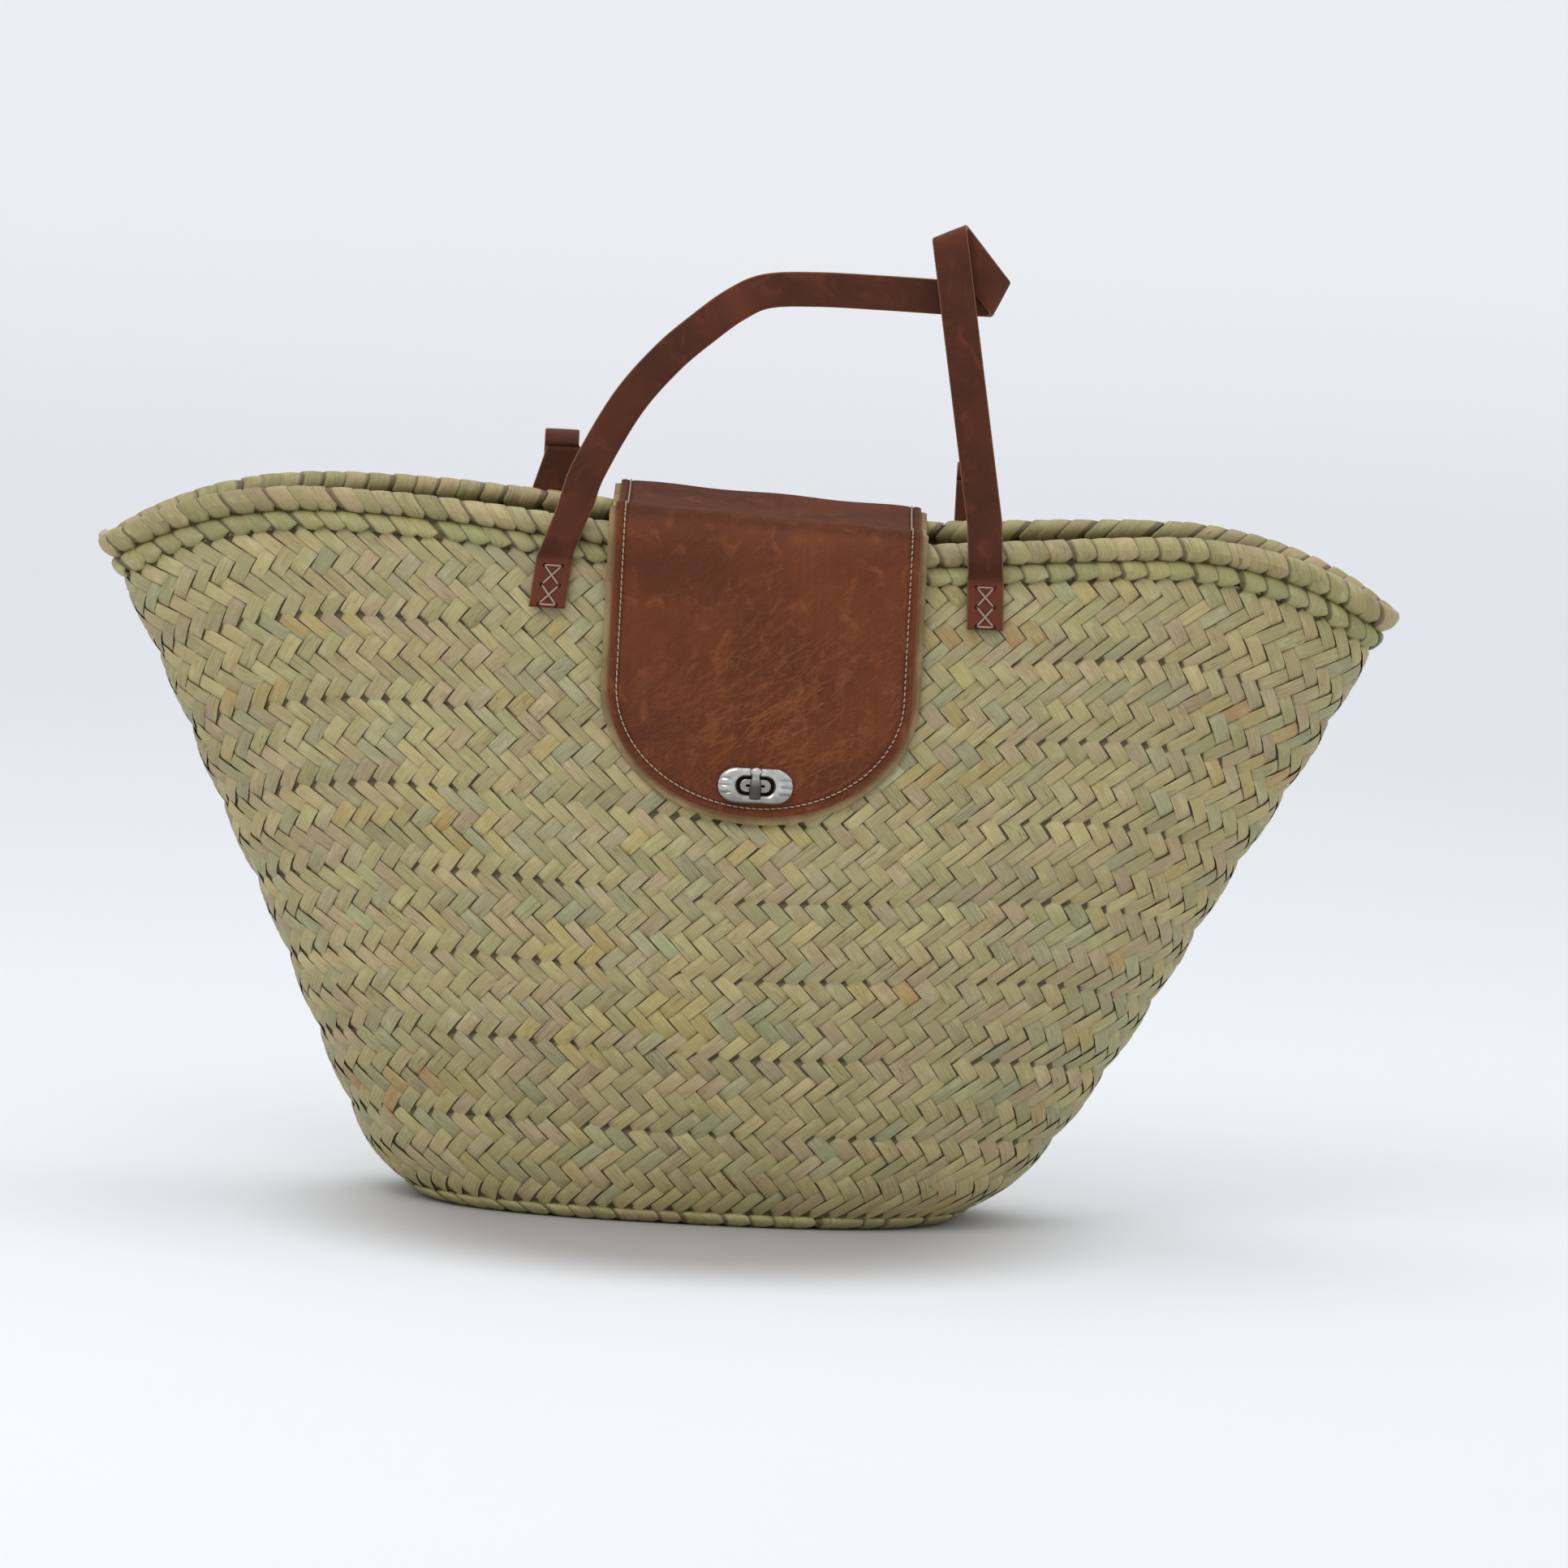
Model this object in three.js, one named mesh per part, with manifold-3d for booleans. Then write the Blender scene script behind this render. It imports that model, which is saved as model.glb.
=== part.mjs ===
// Woven market basket: a palm-leaf plait wound into an open basket, with two leather strap
// handles and a leather flap that closes with a turn lock. Millimetres, +Z up. The origin is the
// centre of the flat underside, +X runs along the length and the front faces -Y.

import * as THREE from "three";
import { mergeVertices } from "three/addons/utils/BufferGeometryUtils.js";
import Module from "manifold-3d";

const wasm = await Module();
wasm.setup();

// ---------------------------------------------------------------- driving dimensions

const GAP = 0.3; // left between pieces that touch

// Basket body
const PLAIT_HALF = 2.4; // half the plait's thickness
const FOOT_HALF_WIDTH = 119; // of the flat underside, at the plait's middle
const FOOT_HALF_DEPTH = 67;
const HEEL_FLARE = 24; // how far the wall springs out above the underside
const HEEL_HEIGHT = 14; // over which it does so
const SIDE_SLOPE = 0.525; // outward run of each end per unit of height
const HEEL_DEPTH = 9; // the same of the front and the back
const BELLY_DEPTH = 11; // outward belly of the front and the back
const MOUTH_DRAW = 8; // the front and the back draw in again at the mouth
const MOUTH_SHIFT = 17; // the mouth leans this far towards +X
const SHIFT_HEIGHT = 90; // height over which most of that shift comes
const CORNER = 0.22; // how much squarer than an ellipse the underside is
const CORNER_HEIGHT = 40; // height over which that squareness fades
const MOUTH_HALF_WIDTH = 300;
const MOUTH_PINCH = 0.28; // how far the mouth closes towards its two tips
const WALL_HEIGHT = 310; // height over which the belly and the pinch develop
const TURNS = 8; // turns of the plait from the underside to the rim
const AROUND = 48; // facets around the basket

// Rim
const RIM_MIDDLE = 319.5; // height of the rim at its dip
const RIM_DIP_X = 36;
const RIM_RISE = 11.5; // of the humps above the dip
const RIM_RISE_RUN = 190;
const RIM_TILT = 2; // the -X tip stands higher and the +X tip lower by this much
const TIP_DROP = 32; // of the two tips below the humps
const TIP_DROP_START = 0.6; // share of the half width where the drop begins
const ROLL_HALF_WIDTH = 7;
const ROLL_HALF_HEIGHT = 5.5;
const CORD_RADIUS = 3.9;
const EDGE_CORD_RADIUS = 3.3;

// Leather straps
const STRAP_WIDTH = 16.3;
const STRAP_HALF = 1.2; // half the leather's thickness
const TAB_WIDTH = 17;
const TAB_LOW = 284;
const TAB_TOP = 308;
const TAB_OFFSET = 5.5; // from the plait's middle to the leather's middle
const TAB_LIFT = 4; // below a tab's top the leather starts to leave the wall
const TAB_RAMP = 14; // height over which it does so
const FLAP_X = 23.5; // centre of the flap, the lock and the handles
const TAB_SPREAD = 100; // each tab's distance from that centre
const FRONT_LEAN = 0.2126; // forward run of the front handle per unit of height
const FRONT_FOLD_Z = 331; // where the front handle bends
const BACK_FOLD_Z = 343; // where the back handle bends over
const BACK_BEND = 6; // radius of that bend

// Flap
const FLAP_HALF_WIDTH = 72;
const LEATHER = 1.8;
const LINING = 0.9;
const FLAP_TILT = THREE.MathUtils.degToRad(2.5); // the flap's folds drop towards +X
const BACK_AXIS = { y: 80, z: 329.3 }; // line on which the flap lifts
const FRONT_AXIS = { y: -78.5, z: 325.7 }; // line on which it folds over the front rim
const PANEL_LEAN = THREE.MathUtils.degToRad(4.7); // the front panel follows the wall
const PANEL_LENGTH = 134;
const PANEL_ROUND = 59; // height of the panel's rounded end
const SEAM_INSET = 4.5;
const ANCHOR_HEIGHT = 49; // of the flap's sewn strip behind the rim
const ANCHOR_LOW = 272.3; // its lower edge
const ANCHOR_DEPTH = 78; // its inner face
const THREAD_RADIUS = 0.4;
const CROSS_HALF_WIDTH = 4;
const CROSS_HEIGHT = 9; // of each of the two crosses on a tab
const CROSS_DROP = 1.5; // of the crosses below the middle of their tab
const PATCH_DROP = 1; // of the patch inside the wall

// Turn lock
const LOCK_DROP = 118; // from the front fold to the lock's centre, along the panel
const PLATE_LENGTH = 35;
const PLATE_WIDTH = 17;
const EYELET_LENGTH = 17.4;
const EYELET_WIDTH = 8.4;
const BOSS_LENGTH = 14.6;
const BOSS_WIDTH = 6.4;
const KNOB_LENGTH = 14.6;
const KNOB_WIDTH = 5.4;
const SHAFT_RADIUS = 1.6;
const PLATE_THICKNESS = 2.2;
const WASHER_THICKNESS = 0.7;
const FOOT_LENGTH = 30; // of the lock's base, behind the flap and inside the wall
const FOOT_WIDTH = 14;
const FOOT_BACK = -2.2; // heights along the lock's axis, from the flap lining's back face
const BOSS_TOP = 4.9;
const BORE_DEPTH = 4.5;
const SHAFT_END = 1.2;
const KNOB_BACK = 5.9;
const KNOB_THICKNESS = 4.2;
const BACK_WASHER = -9.2;

// ---------------------------------------------------------------- materials

function finish(color, roughness, metalness = 0) {
  return new THREE.MeshStandardMaterial({ color, roughness, metalness });
}
const palmLeaf = () => finish(0xa9a06c, 0.8);
const rimLeaf = () => finish(0x9fa06a, 0.75);
const strapLeather = () => finish(0x57301c, 0.5);
const flapLeather = () => finish(0x6f3d24, 0.5);
const suede = () => finish(0x9a7a58, 0.9);
const thread = () => finish(0xcbb79c, 0.8);
const nickel = () => finish(0xb9b7b0, 0.22, 1);

// ---------------------------------------------------------------- small helpers

const basket = new THREE.Group();

function addTo(parent, name, geometry, material) {
  const mesh = new THREE.Mesh(geometry, material);
  mesh.name = name;
  parent.add(mesh);
  return mesh;
}

function smooth(value) {
  const t = Math.min(Math.max(value, 0), 1);
  return t * t * (3 - 2 * t);
}

function signedPower(value, power) {
  return Math.sign(value) * Math.abs(value) ** power;
}

function indexed(points, faces) {
  const geometry = new THREE.BufferGeometry();
  geometry.setAttribute("position", new THREE.Float32BufferAttribute(points.flat(), 3));
  geometry.setIndex(faces.flat());
  return geometry;
}

// A closed band: section(u) gives the same number of [x, y, z] points at every angle u.
function band(around, section) {
  const points = [];
  const faces = [];
  for (let i = 0; i < around; i += 1) {
    points.push(...section((2 * Math.PI * i) / around));
  }
  const size = points.length / around;
  for (let i = 0; i < around; i += 1) {
    const next = (i + 1) % around;
    for (let j = 0; j < size; j += 1) {
      const side = (j + 1) % size;
      const [a, b, c, d] = [i * size + j, next * size + j, next * size + side, i * size + side];
      faces.push([a, b, c], [a, c, d]);
    }
  }
  return indexed(points, faces);
}

// A sheet with two faces: point(s, t, face) with s and t from 0 to 1 and face -1 or 1.
function sheet(steps, strips, point) {
  const points = [];
  const faces = [];
  const row = strips + 1;
  const layer = (steps + 1) * row;
  for (const face of [-1, 1]) {
    for (let i = 0; i <= steps; i += 1) {
      for (let j = 0; j <= strips; j += 1) {
        points.push(point(i / steps, j / strips, face));
      }
    }
  }
  const quad = (a, b, c, d) => faces.push([a, b, c], [a, c, d]);
  for (let i = 0; i < steps; i += 1) {
    for (let j = 0; j < strips; j += 1) {
      const a = i * row + j;
      quad(a, a + 1, a + row + 1, a + row);
      quad(layer + a, layer + a + row, layer + a + row + 1, layer + a + 1);
    }
    const low = i * row;
    const high = low + strips;
    quad(low, low + row, layer + low + row, layer + low);
    quad(high, layer + high, layer + high + row, high + row);
  }
  const last = steps * row;
  for (let j = 0; j < strips; j += 1) {
    quad(j, layer + j, layer + j + 1, j + 1);
    quad(last + j, last + j + 1, layer + last + j + 1, layer + last + j);
  }
  return indexed(points, faces);
}

// Turns a geometry's faces outward.
function outward(geometry) {
  const position = geometry.attributes.position;
  const index = geometry.index;
  const [a, b, c] = [new THREE.Vector3(), new THREE.Vector3(), new THREE.Vector3()];
  let volume = 0;
  for (let i = 0; i < index.count; i += 3) {
    a.fromBufferAttribute(position, index.getX(i));
    b.fromBufferAttribute(position, index.getX(i + 1));
    c.fromBufferAttribute(position, index.getX(i + 2));
    volume += a.dot(b.cross(c));
  }
  if (volume < 0) {
    for (let i = 0; i < index.count; i += 3) {
      const second = index.getX(i + 1);
      index.setX(i + 1, index.getX(i + 2));
      index.setX(i + 2, second);
    }
  }
  return geometry;
}

function toManifold(geometry) {
  const bare = geometry.clone();
  bare.deleteAttribute("normal");
  bare.deleteAttribute("uv");
  const merged = mergeVertices(bare, 1e-4);
  return new wasm.Manifold(
    new wasm.Mesh({
      numProp: 3,
      vertProperties: new Float32Array(merged.attributes.position.array),
      triVerts: new Uint32Array(merged.index.array),
    }),
  );
}

function fromManifold(manifold) {
  const mesh = manifold.getMesh();
  const geometry = new THREE.BufferGeometry();
  geometry.setAttribute("position", new THREE.BufferAttribute(mesh.vertProperties, 3));
  geometry.setIndex(new THREE.BufferAttribute(mesh.triVerts, 1));
  return geometry;
}

function join(geometries) {
  return fromManifold(geometries.map(toManifold).reduce((whole, piece) => whole.add(piece)));
}

// ---------------------------------------------------------------- the basket's surface

function halfWidth(z) {
  return FOOT_HALF_WIDTH + HEEL_FLARE * (1 - Math.exp(-z / HEEL_HEIGHT)) + SIDE_SLOPE * z;
}

function halfDepth(z) {
  const share = z / WALL_HEIGHT;
  const heel = HEEL_DEPTH * (1 - Math.exp(-z / HEEL_HEIGHT));
  const belly = BELLY_DEPTH * Math.sin(Math.PI * share);
  return FOOT_HALF_DEPTH + heel + belly - MOUTH_DRAW * share ** 3;
}

function middleX(z) {
  return MOUTH_SHIFT * (1 - Math.exp(-z / SHIFT_HEIGHT));
}

// Outline of the plait's middle at height z and angle u, from +X round through +Y.
function outline(u, z) {
  const corner = 1 - CORNER * Math.exp(-z / CORNER_HEIGHT);
  const along = signedPower(Math.cos(u), corner);
  const across = signedPower(Math.sin(u), corner);
  const pinch = MOUTH_PINCH * Math.min(z / WALL_HEIGHT, 1) ** 3;
  return new THREE.Vector2(
    middleX(z) + halfWidth(z) * along,
    halfDepth(z) * across * (1 - pinch * (1 - across * across)),
  );
}

// A point of the wall, moved out level by offset.
function wallPoint(u, z, offset = 0) {
  const step = 0.01;
  const tangent = outline(u + step, z).sub(outline(u - step, z)).normalize();
  const place = outline(u, z);
  return [place.x + tangent.y * offset, place.y - tangent.x * offset, z];
}

// Depth of the plait's middle at a given x, as a positive number.
function wallDepth(x, z) {
  const along = (x - middleX(z)) / halfWidth(z);
  const across = Math.sqrt(1 - along * along);
  const pinch = MOUTH_PINCH * Math.min(z / WALL_HEIGHT, 1) ** 3;
  return halfDepth(z) * across * (1 - pinch * (1 - across * across));
}

function rimTop(u) {
  const along = Math.cos(u);
  const x = MOUTH_SHIFT + MOUTH_HALF_WIDTH * along;
  const hump = RIM_RISE * smooth(Math.abs(x - RIM_DIP_X) / RIM_RISE_RUN);
  const past = Math.max(0, (Math.abs(along) - TIP_DROP_START) / (1 - TIP_DROP_START));
  return RIM_MIDDLE + hump - TIP_DROP * past ** 2.1 - RIM_TILT * along;
}

// ---------------------------------------------------------------- woven pieces

function roundSection(u, z, offset, halfWide, halfHigh, sides) {
  const points = [];
  for (let k = 0; k < sides; k += 1) {
    const turn = (2 * Math.PI * k) / sides;
    const [x, y] = wallPoint(u, z, offset + halfWide * Math.cos(turn));
    points.push([x, y, z + halfHigh * Math.sin(turn)]);
  }
  return points;
}

function wallTurn(index) {
  const foot = 2 * EDGE_CORD_RADIUS + 2 * GAP;
  const heights = (u, share) => {
    const top = rimTop(u) - 2 * ROLL_HALF_HEIGHT - 2 * CORD_RADIUS - 2 * GAP;
    return foot + (top - foot) * share;
  };
  return band(AROUND, (u) => {
    const low = heights(u, index / TURNS) + GAP / 2;
    const high = heights(u, (index + 1) / TURNS) - GAP / 2;
    return [
      wallPoint(u, low, PLAIT_HALF),
      wallPoint(u, high, PLAIT_HALF),
      wallPoint(u, high, -PLAIT_HALF),
      wallPoint(u, low, -PLAIT_HALF),
    ];
  });
}

function makeWoven() {
  const underside = new THREE.Shape();
  const inset = -(EDGE_CORD_RADIUS + GAP);
  for (let i = 0; i < AROUND; i += 1) {
    const [x, y] = wallPoint((2 * Math.PI * i) / AROUND, EDGE_CORD_RADIUS, inset);
    if (i === 0) {
      underside.moveTo(x, y);
    } else {
      underside.lineTo(x, y);
    }
  }
  const plate = new THREE.ExtrudeGeometry(underside, {
    depth: 2 * PLAIT_HALF,
    bevelEnabled: false,
  });
  addTo(basket, "base_plait", plate, palmLeaf());

  const edge = band(AROUND, (u) =>
    roundSection(u, EDGE_CORD_RADIUS, 0, EDGE_CORD_RADIUS, EDGE_CORD_RADIUS, 8),
  );
  addTo(basket, "base_edge_cord", outward(edge), rimLeaf());

  for (let i = 0; i < TURNS; i += 1) {
    addTo(basket, `wall_turn_${i + 1}`, outward(wallTurn(i)), palmLeaf());
  }

  const cord = band(AROUND, (u) => {
    const z = rimTop(u) - 2 * ROLL_HALF_HEIGHT - GAP - CORD_RADIUS;
    return roundSection(u, z, 0, CORD_RADIUS, CORD_RADIUS, 8);
  });
  addTo(basket, "rim_cord", outward(cord), rimLeaf());

  const roll = band(AROUND, (u) =>
    roundSection(u, rimTop(u) - ROLL_HALF_HEIGHT, 0, ROLL_HALF_WIDTH, ROLL_HALF_HEIGHT, 8),
  );
  addTo(basket, "rim_roll", outward(roll), rimLeaf());
}

// ---------------------------------------------------------------- strap ends and their thread

// Distance of a strap end's middle from the basket's middle plane at height z: it lies on the
// wall, then passes outside the rim.
function strapEndDepth(x, z, top) {
  const onWall = wallDepth(x, Math.min(z, TAB_TOP)) + TAB_OFFSET;
  return onWall + (top - onWall) * smooth((z - TAB_TOP + TAB_LIFT) / TAB_RAMP);
}

function strapEnd({ foot, head, lean, facing, top, topDepth }) {
  return sheet(10, 1, (s, t, face) => {
    const z = TAB_LOW + (top - TAB_LOW) * s;
    const onTab = Math.min((z - TAB_LOW) / (TAB_TOP - TAB_LOW), 1);
    const middle = foot + (head - foot) * onTab + lean * Math.max(0, z - TAB_TOP);
    const wide = z > TAB_TOP ? STRAP_WIDTH : TAB_WIDTH;
    const x = middle + (t - 0.5) * wide;
    const depth = strapEndDepth(x, z, topDepth) + face * STRAP_HALF;
    return [x, facing * depth, z];
  });
}

function bar(from, to, width) {
  const length = from.distanceTo(to) + width;
  const geometry = new THREE.BoxGeometry(length, width, width);
  geometry.rotateZ(Math.atan2(to.y - from.y, to.x - from.x));
  geometry.translate((from.x + to.x) / 2, (from.y + to.y) / 2, 0);
  return geometry;
}

// Two crosses one above the other, closed by a short stitch at each end.
function crossStitch() {
  const point = (x, y) => new THREE.Vector2(x * CROSS_HALF_WIDTH, y * CROSS_HEIGHT);
  const stitches = [
    [point(-1, -1), point(1, -1)],
    [point(-1, -1), point(1, 0)],
    [point(1, -1), point(-1, 0)],
    [point(-1, 0), point(1, 1)],
    [point(1, 0), point(-1, 1)],
    [point(-1, 1), point(1, 1)],
  ];
  return join(stitches.map(([from, to]) => bar(from, to, 2 * THREAD_RADIUS)));
}

function makeStrapEnd(name, end) {
  const { foot, head, facing, topDepth } = end;
  const leather = outward(strapEnd(end));
  addTo(basket, `${name}_strap_end`, leather, strapLeather());

  const middle = (foot + head) / 2;
  const height = (TAB_LOW + TAB_TOP) / 2;
  const depth = (z) => strapEndDepth(middle, z, topDepth);
  const flatTop = TAB_TOP - TAB_LIFT;
  const tilt = Math.atan2(depth(flatTop) - depth(TAB_LOW), flatTop - TAB_LOW);
  const place = new THREE.Group();
  place.position.set(middle, facing * depth(height), height);
  const turn = Math.atan2(wallDepth(middle + 5, height) - wallDepth(middle - 5, height), 10);
  place.rotation.set(Math.PI / 2 - facing * tilt, facing * turn, 0);
  basket.add(place);

  const proud = STRAP_HALF + 2 * GAP + THREAD_RADIUS;
  const stitch = crossStitch();
  stitch.translate(0, -CROSS_DROP, -facing * proud);
  addTo(place, `${name}_cross_stitch`, stitch, thread());

  const patch = new THREE.BoxGeometry(TAB_WIDTH, TAB_TOP - TAB_LOW, STRAP_HALF);
  patch.translate(0, -PATCH_DROP, facing * (TAB_OFFSET + PLAIT_HALF + STRAP_HALF + 2 * GAP));
  addTo(place, `${name}_inner_patch`, patch, suede());
}

// ---------------------------------------------------------------- front handle

const TAB_DEPTH = 70.7; // of the front straps' middle where they leave their tabs
const FRONT_DEPTH = TAB_DEPTH + FRONT_LEAN * (FRONT_FOLD_Z - TAB_TOP);
const FRONT_START = { x: -65.4, z: FRONT_FOLD_Z + 3.5 }; // the strap's first point above the bend
const FRONT_END_TOP = FRONT_FOLD_Z - 4.2; // the strap ends stop here, clear of the bend
const SETTLE_HEIGHT = 110; // over which the right leg comes back to the handle's plane

// The strap's middle line in the handle's plane, laid out before its two creases are folded.
function frontRoute() {
  return new THREE.CatmullRomCurve3(
    [
      [FRONT_START.x, FRONT_START.z],
      [-60.5, 350],
      [-44.5, 381],
      [-27, 403.5],
      [-10.6, 419],
      [3, 430],
      [17, 437],
      [40, 439],
      [70, 439],
      [100, 438.5],
    ].map(([x, z]) => new THREE.Vector3(x, 0, z)),
  );
}

// Folds the part of a flat strap beyond a line back over itself towards the front (-Y).
function crease(point, line, level) {
  const along = new THREE.Vector2(Math.cos(line.angle), Math.sin(line.angle));
  const beyond = new THREE.Vector2(along.y, -along.x).multiplyScalar(line.side);
  const flat = new THREE.Vector2(point.x - line.x, point.z - line.z);
  const far = flat.dot(beyond);
  if (far <= 0) {
    return point;
  }
  const kept = flat.dot(along);
  const height = point.y - level;
  const turn = Math.min(far / line.radius, Math.PI);
  const radius = line.radius + height;
  const rest = Math.max(0, far - Math.PI * line.radius);
  const reach = radius * Math.sin(turn) - rest;
  return new THREE.Vector3(
    line.x + along.x * kept + beyond.x * reach,
    level - line.radius + radius * Math.cos(turn),
    line.z + along.y * kept + beyond.y * reach,
  );
}

const SIDE_CREASE = { x: 120, z: 439.5, angle: THREE.MathUtils.degToRad(65), side: 1, radius: 3.2 };
const TOP_CREASE = { x: 104, z: 468, angle: THREE.MathUtils.degToRad(25), side: -1, radius: 2.6 };
const CREASE_RUN = 46; // straight strap from the side crease to the top crease
const RIGHT_LEG = 137.8; // straight strap from the top crease to its strap end

function frontHandle() {
  const route = frontRoute();
  const curved = route.getLength();
  const end = route.getPoint(1);
  const straight = SIDE_CREASE.x - end.x + CREASE_RUN + RIGHT_LEG;
  const total = curved + straight;
  const topPlane = 2 * (SIDE_CREASE.radius + TOP_CREASE.radius);
  return sheet(72, 2, (s, t, face) => {
    const distance = total * s;
    const place = new THREE.Vector3();
    const tangent = new THREE.Vector3(1, 0, 0);
    if (distance < curved) {
      route.getPointAt(distance / curved, place);
      route.getTangentAt(distance / curved, tangent);
    } else {
      place.set(end.x + distance - curved, 0, end.z);
    }
    const across = (0.5 - t) * STRAP_WIDTH;
    let point = new THREE.Vector3(
      place.x - tangent.z * across,
      face * STRAP_HALF,
      place.z + tangent.x * across,
    );
    const pastSide = distance > curved + SIDE_CREASE.x - end.x - STRAP_WIDTH;
    if (pastSide) {
      point = crease(point, SIDE_CREASE, 0);
    }
    const leg = distance - (total - RIGHT_LEG);
    if (leg > -STRAP_WIDTH) {
      point = crease(point, TOP_CREASE, -2 * SIDE_CREASE.radius);
    }
    const settle = leg > 0 ? topPlane * (1 - smooth((point.z - FRONT_FOLD_Z) / SETTLE_HEIGHT)) : 0;
    const lean = TAB_DEPTH + FRONT_LEAN * (point.z - TAB_TOP);
    return [point.x, point.y + settle - lean, point.z];
  });
}

// ---------------------------------------------------------------- back handle

const BACK_DEPTH = 72.5; // of the back straps' middle where they bend over
const BACK_LEG = 17.5; // straight stretch below the bend
const BACK_LOOP = 100; // radius of the hanging loop
const BACK_BOW = 0.0004; // the loop bows away from the wall by this, times its drop squared

// Hangs behind the basket: over the bend, down one leg, round the loop and up the other.
function backHandle() {
  const bend = Math.PI * BACK_BEND;
  const half = bend + BACK_LEG + (Math.PI / 2) * BACK_LOOP;
  return sheet(56, 1, (s, t, face) => {
    const distance = 2 * half * s;
    const mirror = distance > half ? 1 : -1;
    const run = distance > half ? 2 * half - distance : distance;
    const turn = Math.min(run / bend, 1) * Math.PI;
    const round = Math.max(0, run - bend - BACK_LEG) / BACK_LOOP;
    const across = (t - 0.5) * STRAP_WIDTH;
    const radius = BACK_LOOP - across;
    const x = mirror * radius * Math.cos(round);
    const down = Math.min(Math.max(run - bend, 0), BACK_LEG) + radius * Math.sin(round);
    const lift = BACK_BEND + face * STRAP_HALF;
    return [
      FLAP_X + x,
      BACK_DEPTH + BACK_BEND - lift * Math.cos(turn) + BACK_BOW * down ** 2,
      BACK_FOLD_Z + lift * Math.sin(turn) - down,
    ];
  });
}

function makeHandles() {
  const left = FLAP_X - TAB_SPREAD;
  const right = FLAP_X + TAB_SPREAD;
  const front = { facing: -1, top: FRONT_END_TOP, topDepth: FRONT_DEPTH };
  const leftFront = { foot: left - 0.5, head: left + 2, lean: 0.35, ...front };
  const rightFront = { foot: right + 2, head: right + 1, lean: -0.07, ...front };
  makeStrapEnd("front_left", leftFront);
  makeStrapEnd("front_right", rightFront);
  addTo(basket, "front_handle_strap", outward(frontHandle()), strapLeather());

  const back = { lean: 0, facing: 1, top: BACK_FOLD_Z - BACK_BEND, topDepth: BACK_DEPTH };
  makeStrapEnd("back_left", { foot: left, head: left, ...back });
  makeStrapEnd("back_right", { foot: right, head: right, ...back });
  addTo(basket, "back_handle_strap", outward(backHandle()), strapLeather());
}

// ---------------------------------------------------------------- flap

function uOutline(half, top, straight, round) {
  const shape = new THREE.Shape();
  shape.moveTo(half, top);
  shape.lineTo(-half, top);
  shape.lineTo(-half, -straight);
  shape.absellipse(0, -straight, half, round, Math.PI, 2 * Math.PI, false, 0);
  shape.closePath();
  return shape;
}

function oblong(length, width, y = 0) {
  const shape = new THREE.Path();
  const radius = width / 2;
  const reach = length / 2 - radius;
  shape.moveTo(-reach, y - radius);
  shape.lineTo(reach, y - radius);
  shape.absarc(reach, y, radius, -Math.PI / 2, Math.PI / 2, false);
  shape.lineTo(-reach, y + radius);
  shape.absarc(-reach, y, radius, Math.PI / 2, 1.5 * Math.PI, false);
  return shape;
}

function slab(shape, low, thickness, curveSegments = 8) {
  const geometry = new THREE.ExtrudeGeometry(shape, {
    depth: thickness,
    bevelEnabled: false,
    curveSegments,
  });
  geometry.translate(0, 0, low);
  return geometry;
}

// A thread laid along a U-shaped seam.
function seamThread(half, top, straight, round, height, steps) {
  const path = uOutline(half, top, straight, round).getSpacedPoints(4 * steps);
  const flat = path.map((p) => new THREE.Vector3(p.x, p.y, height));
  const open = flat.filter((p) => p.y < top - 1);
  const section = new THREE.Shape([
    new THREE.Vector2(THREAD_RADIUS, 0),
    new THREE.Vector2(0, THREAD_RADIUS),
    new THREE.Vector2(-THREAD_RADIUS, 0),
    new THREE.Vector2(0, -THREAD_RADIUS),
  ]);
  return new THREE.ExtrudeGeometry(section, {
    steps,
    bevelEnabled: false,
    extrudePath: new THREE.CatmullRomCurve3(open),
  });
}

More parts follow.
